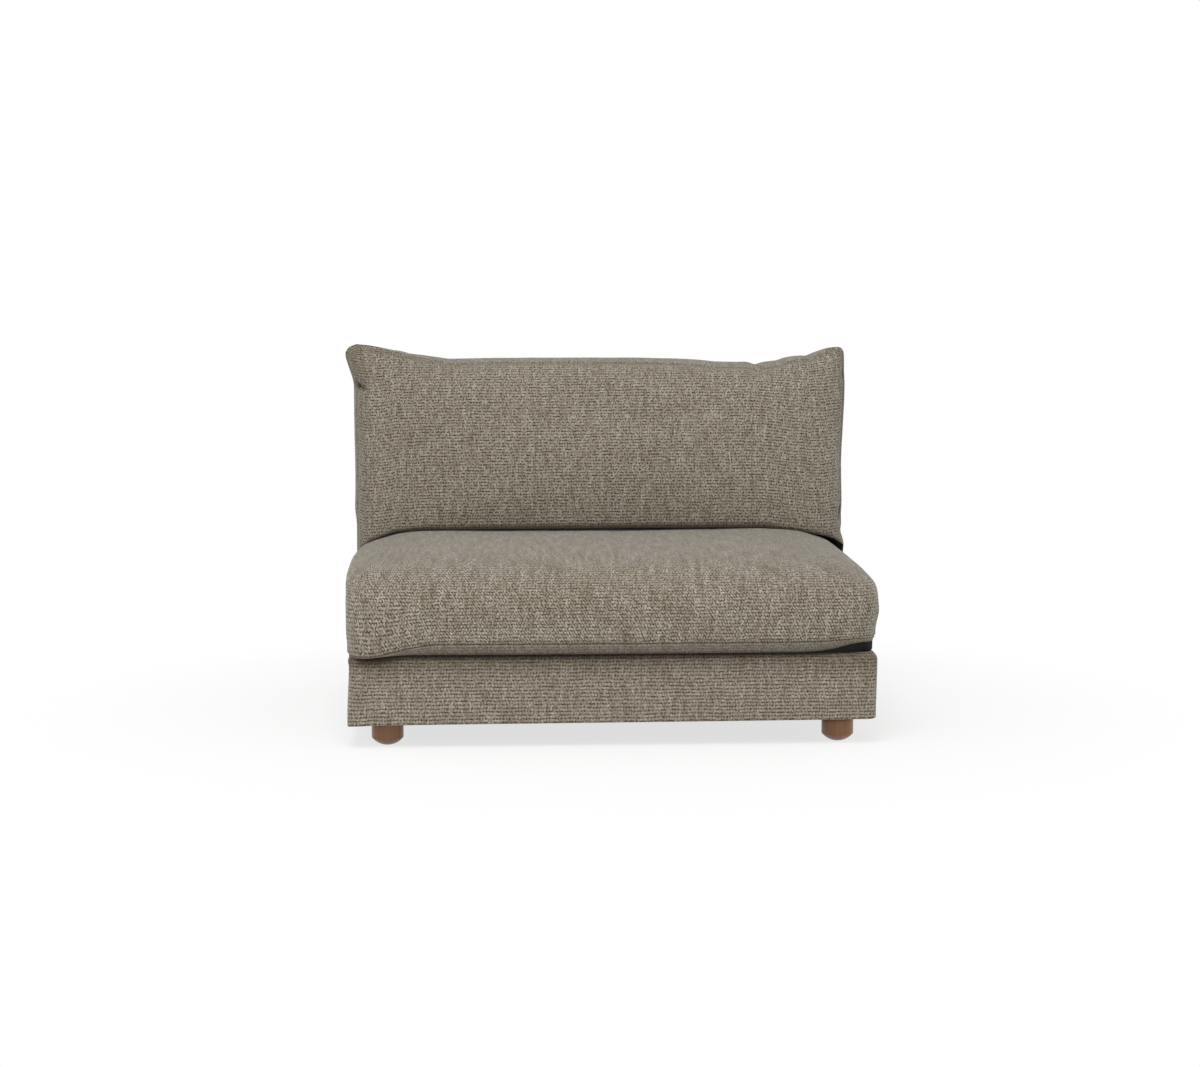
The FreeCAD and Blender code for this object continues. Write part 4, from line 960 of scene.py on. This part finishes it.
def thin_cloths():
    """The black deck cloth, the lining behind the cushion and the dust cover."""
    deck, dust, lining = DECK_HIGH - DECK_LOW, DUST_HIGH - DUST_LOW, LINING_HIGH - LINING_LOW
    tacked_cloth("deck_black_cloth", "deck_cloth", LINING, (DECK_LOW.x, DECK_LOW.y, DECK_HIGH.z - 0.9 * MM),
                 (deck.x, 0, 0), (0, deck.y, 0), 1.2 * MM, -0.4 * MM)
    tacked_cloth("inside_back_black_lining", "inside_back_lining", LINING,
                 (LINING_LOW.x, LINING_LOW.y + 0.7 * MM, LINING_LOW.z), (lining.x, 0, 0),
                 (0, lining.z * BACK_RAKE, lining.z), 1.2 * MM, 0.0)
    tacked_cloth("dust_cover_spunbond_cloth", "dust_cover", DUST_CLOTH,
                 (DUST_LOW.x, DUST_HIGH.y, DUST_LOW.z + 0.5 * MM), (dust.x, 0, 0), (0, -dust.y, 0),
                 0.8 * MM, 1.5 * MM, [dust_cover_staples()])


# a turn of the zip's coil and the corded inner edge of its tape, in mm across the zip and out from the cover
COIL_TURN = ((-1.9, 0.3), (-1.5, 1.5), (-0.6, 2.2), (0.6, 2.2), (1.5, 1.5), (1.9, 0.3))
TAPE_CORD = ((4.0, 0.9), (3.2, 1.6), (2.4, 1.7), (2.0, 0.9), (2.0, 0.1))
# a real coil has a turn every 1.5 mm, and it is drawn every 3 mm so that it shows
COIL_PITCH = 3 * MM


def coil_zip(name, body, node, across, out):
    """A nylon coil zip: two woven tapes, each with a corded inner edge, and the closed coil between."""
    low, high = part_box(node)
    across, out = Vector(across), Vector(out)
    face = (low + high) / 2 - out * abs((high - low).dot(out)) / 2
    half = abs((high - low).dot(across)) / 2 / MM
    bm = bmesh.new()

    def at(x, side, rise):
        place = face + across * side * MM + out * rise * MM
        return bm.verts.new((x, place.y, place.z))

    tape = ((half, 0.1), (half, 0.8), (half - 2, 1.0)) + TAPE_CORD
    for sign in (-1, 1):
        bridge(bm, [[at(x, sign * side, rise) for side, rise in tape]
                    for x in np.arange(low.x, high.x + 1 * MM, 10 * MM)])
    for number, x in enumerate(np.arange(low.x + 4 * MM, high.x - 4 * MM, COIL_PITCH)):
        lean = (0.5 if number % 2 else -0.5) * MM / COIL_TURN[-1][0]
        bridge(bm, [[at(x + half_turn + lean * side, side, rise) for side, rise in COIL_TURN]
                    for half_turn in (-COIL_PITCH / 3, COIL_PITCH / 3)], slot=1)
    bmesh.ops.recalc_face_normals(bm, faces=bm.faces)
    finished(mesh_object(name, bm), body, [ZIP_TAPE, ZIP_COIL], "zip_plastic", node)


# Feet: straight cylinders whose lower end is part of a ball, with a small flat to stand on
FOOT_X, FOOT_Y, FOOT_RADIUS = 495 * MM, 400 * MM, 35 * MM
FOOT_DOME, FOOT_FLAT, FOOT_EASE = 44.5 * MM, 10 * MM, 0.8 * MM
FOOT_SIDES = 72


def turned_feet():
    """Four turned feet, each a smooth revolve with a domed lower end."""
    height = FOOT_HIGH.z - FOOT_LOW.z
    centre = math.sqrt(FOOT_DOME ** 2 - FOOT_FLAT ** 2)
    dome = [(r, centre - math.sqrt(FOOT_DOME ** 2 - r ** 2))
            for r in np.linspace(FOOT_FLAT, FOOT_RADIUS - FOOT_EASE, 12)]
    profile = [(0.0, 0.0), *dome, (FOOT_RADIUS, dome[-1][1] + 2 * FOOT_EASE), (FOOT_RADIUS, height * 0.7),
               (FOOT_RADIUS, height - 0.6 * MM), (FOOT_RADIUS - 0.6 * MM, height), (0.0, height)]
    turns = [2 * math.pi * k / FOOT_SIDES for k in range(FOOT_SIDES)]
    for name, node, y in (("front_turned_feet", "front_feet", -FOOT_Y),
                          ("rear_turned_feet", "rear_feet", FOOT_Y)):
        bm = bmesh.new()
        for x in (-FOOT_X, FOOT_X):
            bridge(bm, [[bm.verts.new((x + r * math.cos(turn), y + r * math.sin(turn), z))
                         for turn in (turns if r else turns[:1])] for r, z in profile])
        finished(mesh_object(name, bm, smooth=True), "sofa_frame", [FOOT_WOOD], "foot_wood", node)


# The solids that stay, by finish
NODE_FINISHES = (
    (SOFTWOOD, ("front_rail", "rear_rail", "left_side_rail", "right_side_rail", "webbing_rail",
                "centre_stretcher", "corner_blocks", "back_lower_rail", "back_top_rail", "back_post_left",
                "back_post_middle", "back_post_right")),
    (PLYWOOD, ("back_mounting_board",)),
    (HARDBOARD, ("outside_back_board",)),
    (BANDS, ("seat_webbing_lengthwise", "seat_webbing_crosswise", "back_webbing_uprights",
             "back_webbing_rows")),
    (FOAM, ("deck_pad", "back_foam_pad", "seat_cushion_foam_core")),
    (ZINC, ("foot_screws", "back_bolts", "latch_plates", "latch_pivot_bolts", "peg_plates",
            "latch_hook_front", "latch_hook_rear")),
    (SLIDER_METAL, ("seat_zip_slider", "back_zip_slider")),
)


def finish_nodes():
    """Gives the solids that stay their finishes."""
    for material, names in NODE_FINISHES:
        for name in names:
            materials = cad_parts[name].data.materials
            materials.clear()
            materials.append(material)


# Room, light and camera
WHITE = (1, 1, 1, 1)
# in metres, far enough to fill the picture
FLOOR_REACH = 30
# soft lamps: place, target, width in metres and power in watts
SOFTBOXES = {"key_softbox": ((-0.7, -2.7, 4.45), (0, -0.2, 0.35), 2.4, 142),
             "left_softbox": ((-3.4, -1.2, 1.2), (0, 0, 0.35), 1.8, 16),
             "right_softbox": ((3.4, -1.6, 1.2), (0, 0, 0.35), 1.8, 16)}
ROOM_LIGHT = 0.47
# the photograph's viewpoint, from a fit to the object's outline
CAMERA_PLACE = (-0.304, -6.167, 1.049)
CAMERA_YAW, CAMERA_PITCH, CAMERA_ROLL = math.radians(-2.73), math.radians(5.82), math.radians(-0.06)
PHOTO_WIDTH_PX, FOCAL_LENGTH_PX = 1200, 2660
SENSOR_WIDTH_MM = 36


def seen_white(tree):
    """1 where a camera, glossy or transmission ray looks at a surface of the room."""
    path = put(tree, "LightPath").outputs
    seen = put(tree, "Math", (path["Is Camera Ray"], path["Is Glossy Ray"]), operation="MAXIMUM")
    return put(tree, "Math", (seen, path["Is Transmission Ray"]), operation="MAXIMUM")


def pale_floor():
    """Matt white floor: it takes the shadow round the object and turns plain white farther out."""
    material, tree = empty_material("matt_white_floor")
    matt = put(tree, "BsdfPrincipled", {"Base Color": linear("#f2f2f1"), "Roughness": 0.9,
                                        "Specular IOR Level": 0.0})
    white = put(tree, "Emission", {"Color": WHITE, "Strength": 1.0})
    place = put(tree, "TexCoord").outputs["Object"]
    away = put(tree, "VectorMath", (place,), operation="LENGTH").outputs["Value"]
    fade = put(tree, "MapRange", {"Value": away, "From Min": 0.5, "From Max": 1.5, "To Min": 0.72,
                                  "To Max": 1.0}, interpolation_type="SMOOTHSTEP")
    share = put(tree, "Math", (seen_white(tree), fade), operation="MULTIPLY")
    put(tree, "OutputMaterial", {"Surface": put(tree, "MixShader", (share, matt, white))})
    return material


def studio():
    """Pale floor, white surroundings and soft lamps."""
    reach = FLOOR_REACH
    floor_mesh = bpy.data.meshes.new("floor")
    corners = [(-reach, -reach, 0), (reach, -reach, 0), (reach, reach, 0), (-reach, reach, 0)]
    floor_mesh.from_pydata(corners, [], [(0, 1, 2, 3)])
    floor = bpy.data.objects.new("floor", floor_mesh)
    bpy.context.scene.collection.objects.link(floor)
    floor.data.materials.append(pale_floor())
    world = bpy.data.worlds.new("soft_white_room")
    bpy.context.scene.world = world
    world.use_nodes = True
    tree = world.node_tree
    tree.nodes.clear()
    lit = put(tree, "Background", {"Color": WHITE, "Strength": ROOM_LIGHT})
    shown = put(tree, "Background", {"Color": WHITE, "Strength": 1.0})
    put(tree, "OutputWorld", {"Surface": put(tree, "MixShader", (seen_white(tree), lit, shown))})
    for name, (place, target, size, power) in SOFTBOXES.items():
        data = bpy.data.lights.new(name, "AREA")
        data.shape = "SQUARE"
        data.size = size
        data.energy = power
        lamp = bpy.data.objects.new(name, data)
        bpy.context.scene.collection.objects.link(lamp)
        lamp.location = place
        lamp.rotation_euler = (Vector(target) - Vector(place)).to_track_quat("-Z", "Y").to_euler()


def photo_camera():
    """The camera at the photograph's viewpoint."""
    yaw, pitch, roll = CAMERA_YAW, CAMERA_PITCH, CAMERA_ROLL
    ahead = Vector((-math.sin(yaw) * math.cos(pitch), math.cos(yaw) * math.cos(pitch), -math.sin(pitch)))
    right = ahead.cross(Vector((0, 0, 1))).normalized()
    up = right.cross(ahead)
    turned_right = right * math.cos(roll) + up * math.sin(roll)
    turned_up = up * math.cos(roll) - right * math.sin(roll)
    data = bpy.data.cameras.new("photo_camera")
    data.sensor_width = SENSOR_WIDTH_MM
    data.lens = FOCAL_LENGTH_PX / PHOTO_WIDTH_PX * SENSOR_WIDTH_MM
    camera = bpy.data.objects.new("photo_camera", data)
    bpy.context.scene.collection.objects.link(camera)
    basis = Matrix((turned_right, turned_up, -ahead)).transposed().to_4x4()
    camera.matrix_world = Matrix.Translation(CAMERA_PLACE) @ basis
    bpy.context.scene.camera = camera


seat_cushion()
back_cushion()
base_cover()
back_unit_cover()
thin_cloths()
coil_zip("seat_cushion_coil_zip", "seat_cushion", "seat_cushion_zip", (0, 0, 1), (0, 1, 0))
coil_zip("back_cushion_coil_zip", "back_cushion", "back_cushion_zip", (0, 1, 0), (0, 0, -1))
turned_feet()
finish_nodes()
studio()
photo_camera()
bpy.context.scene.view_settings.view_transform = "Standard"
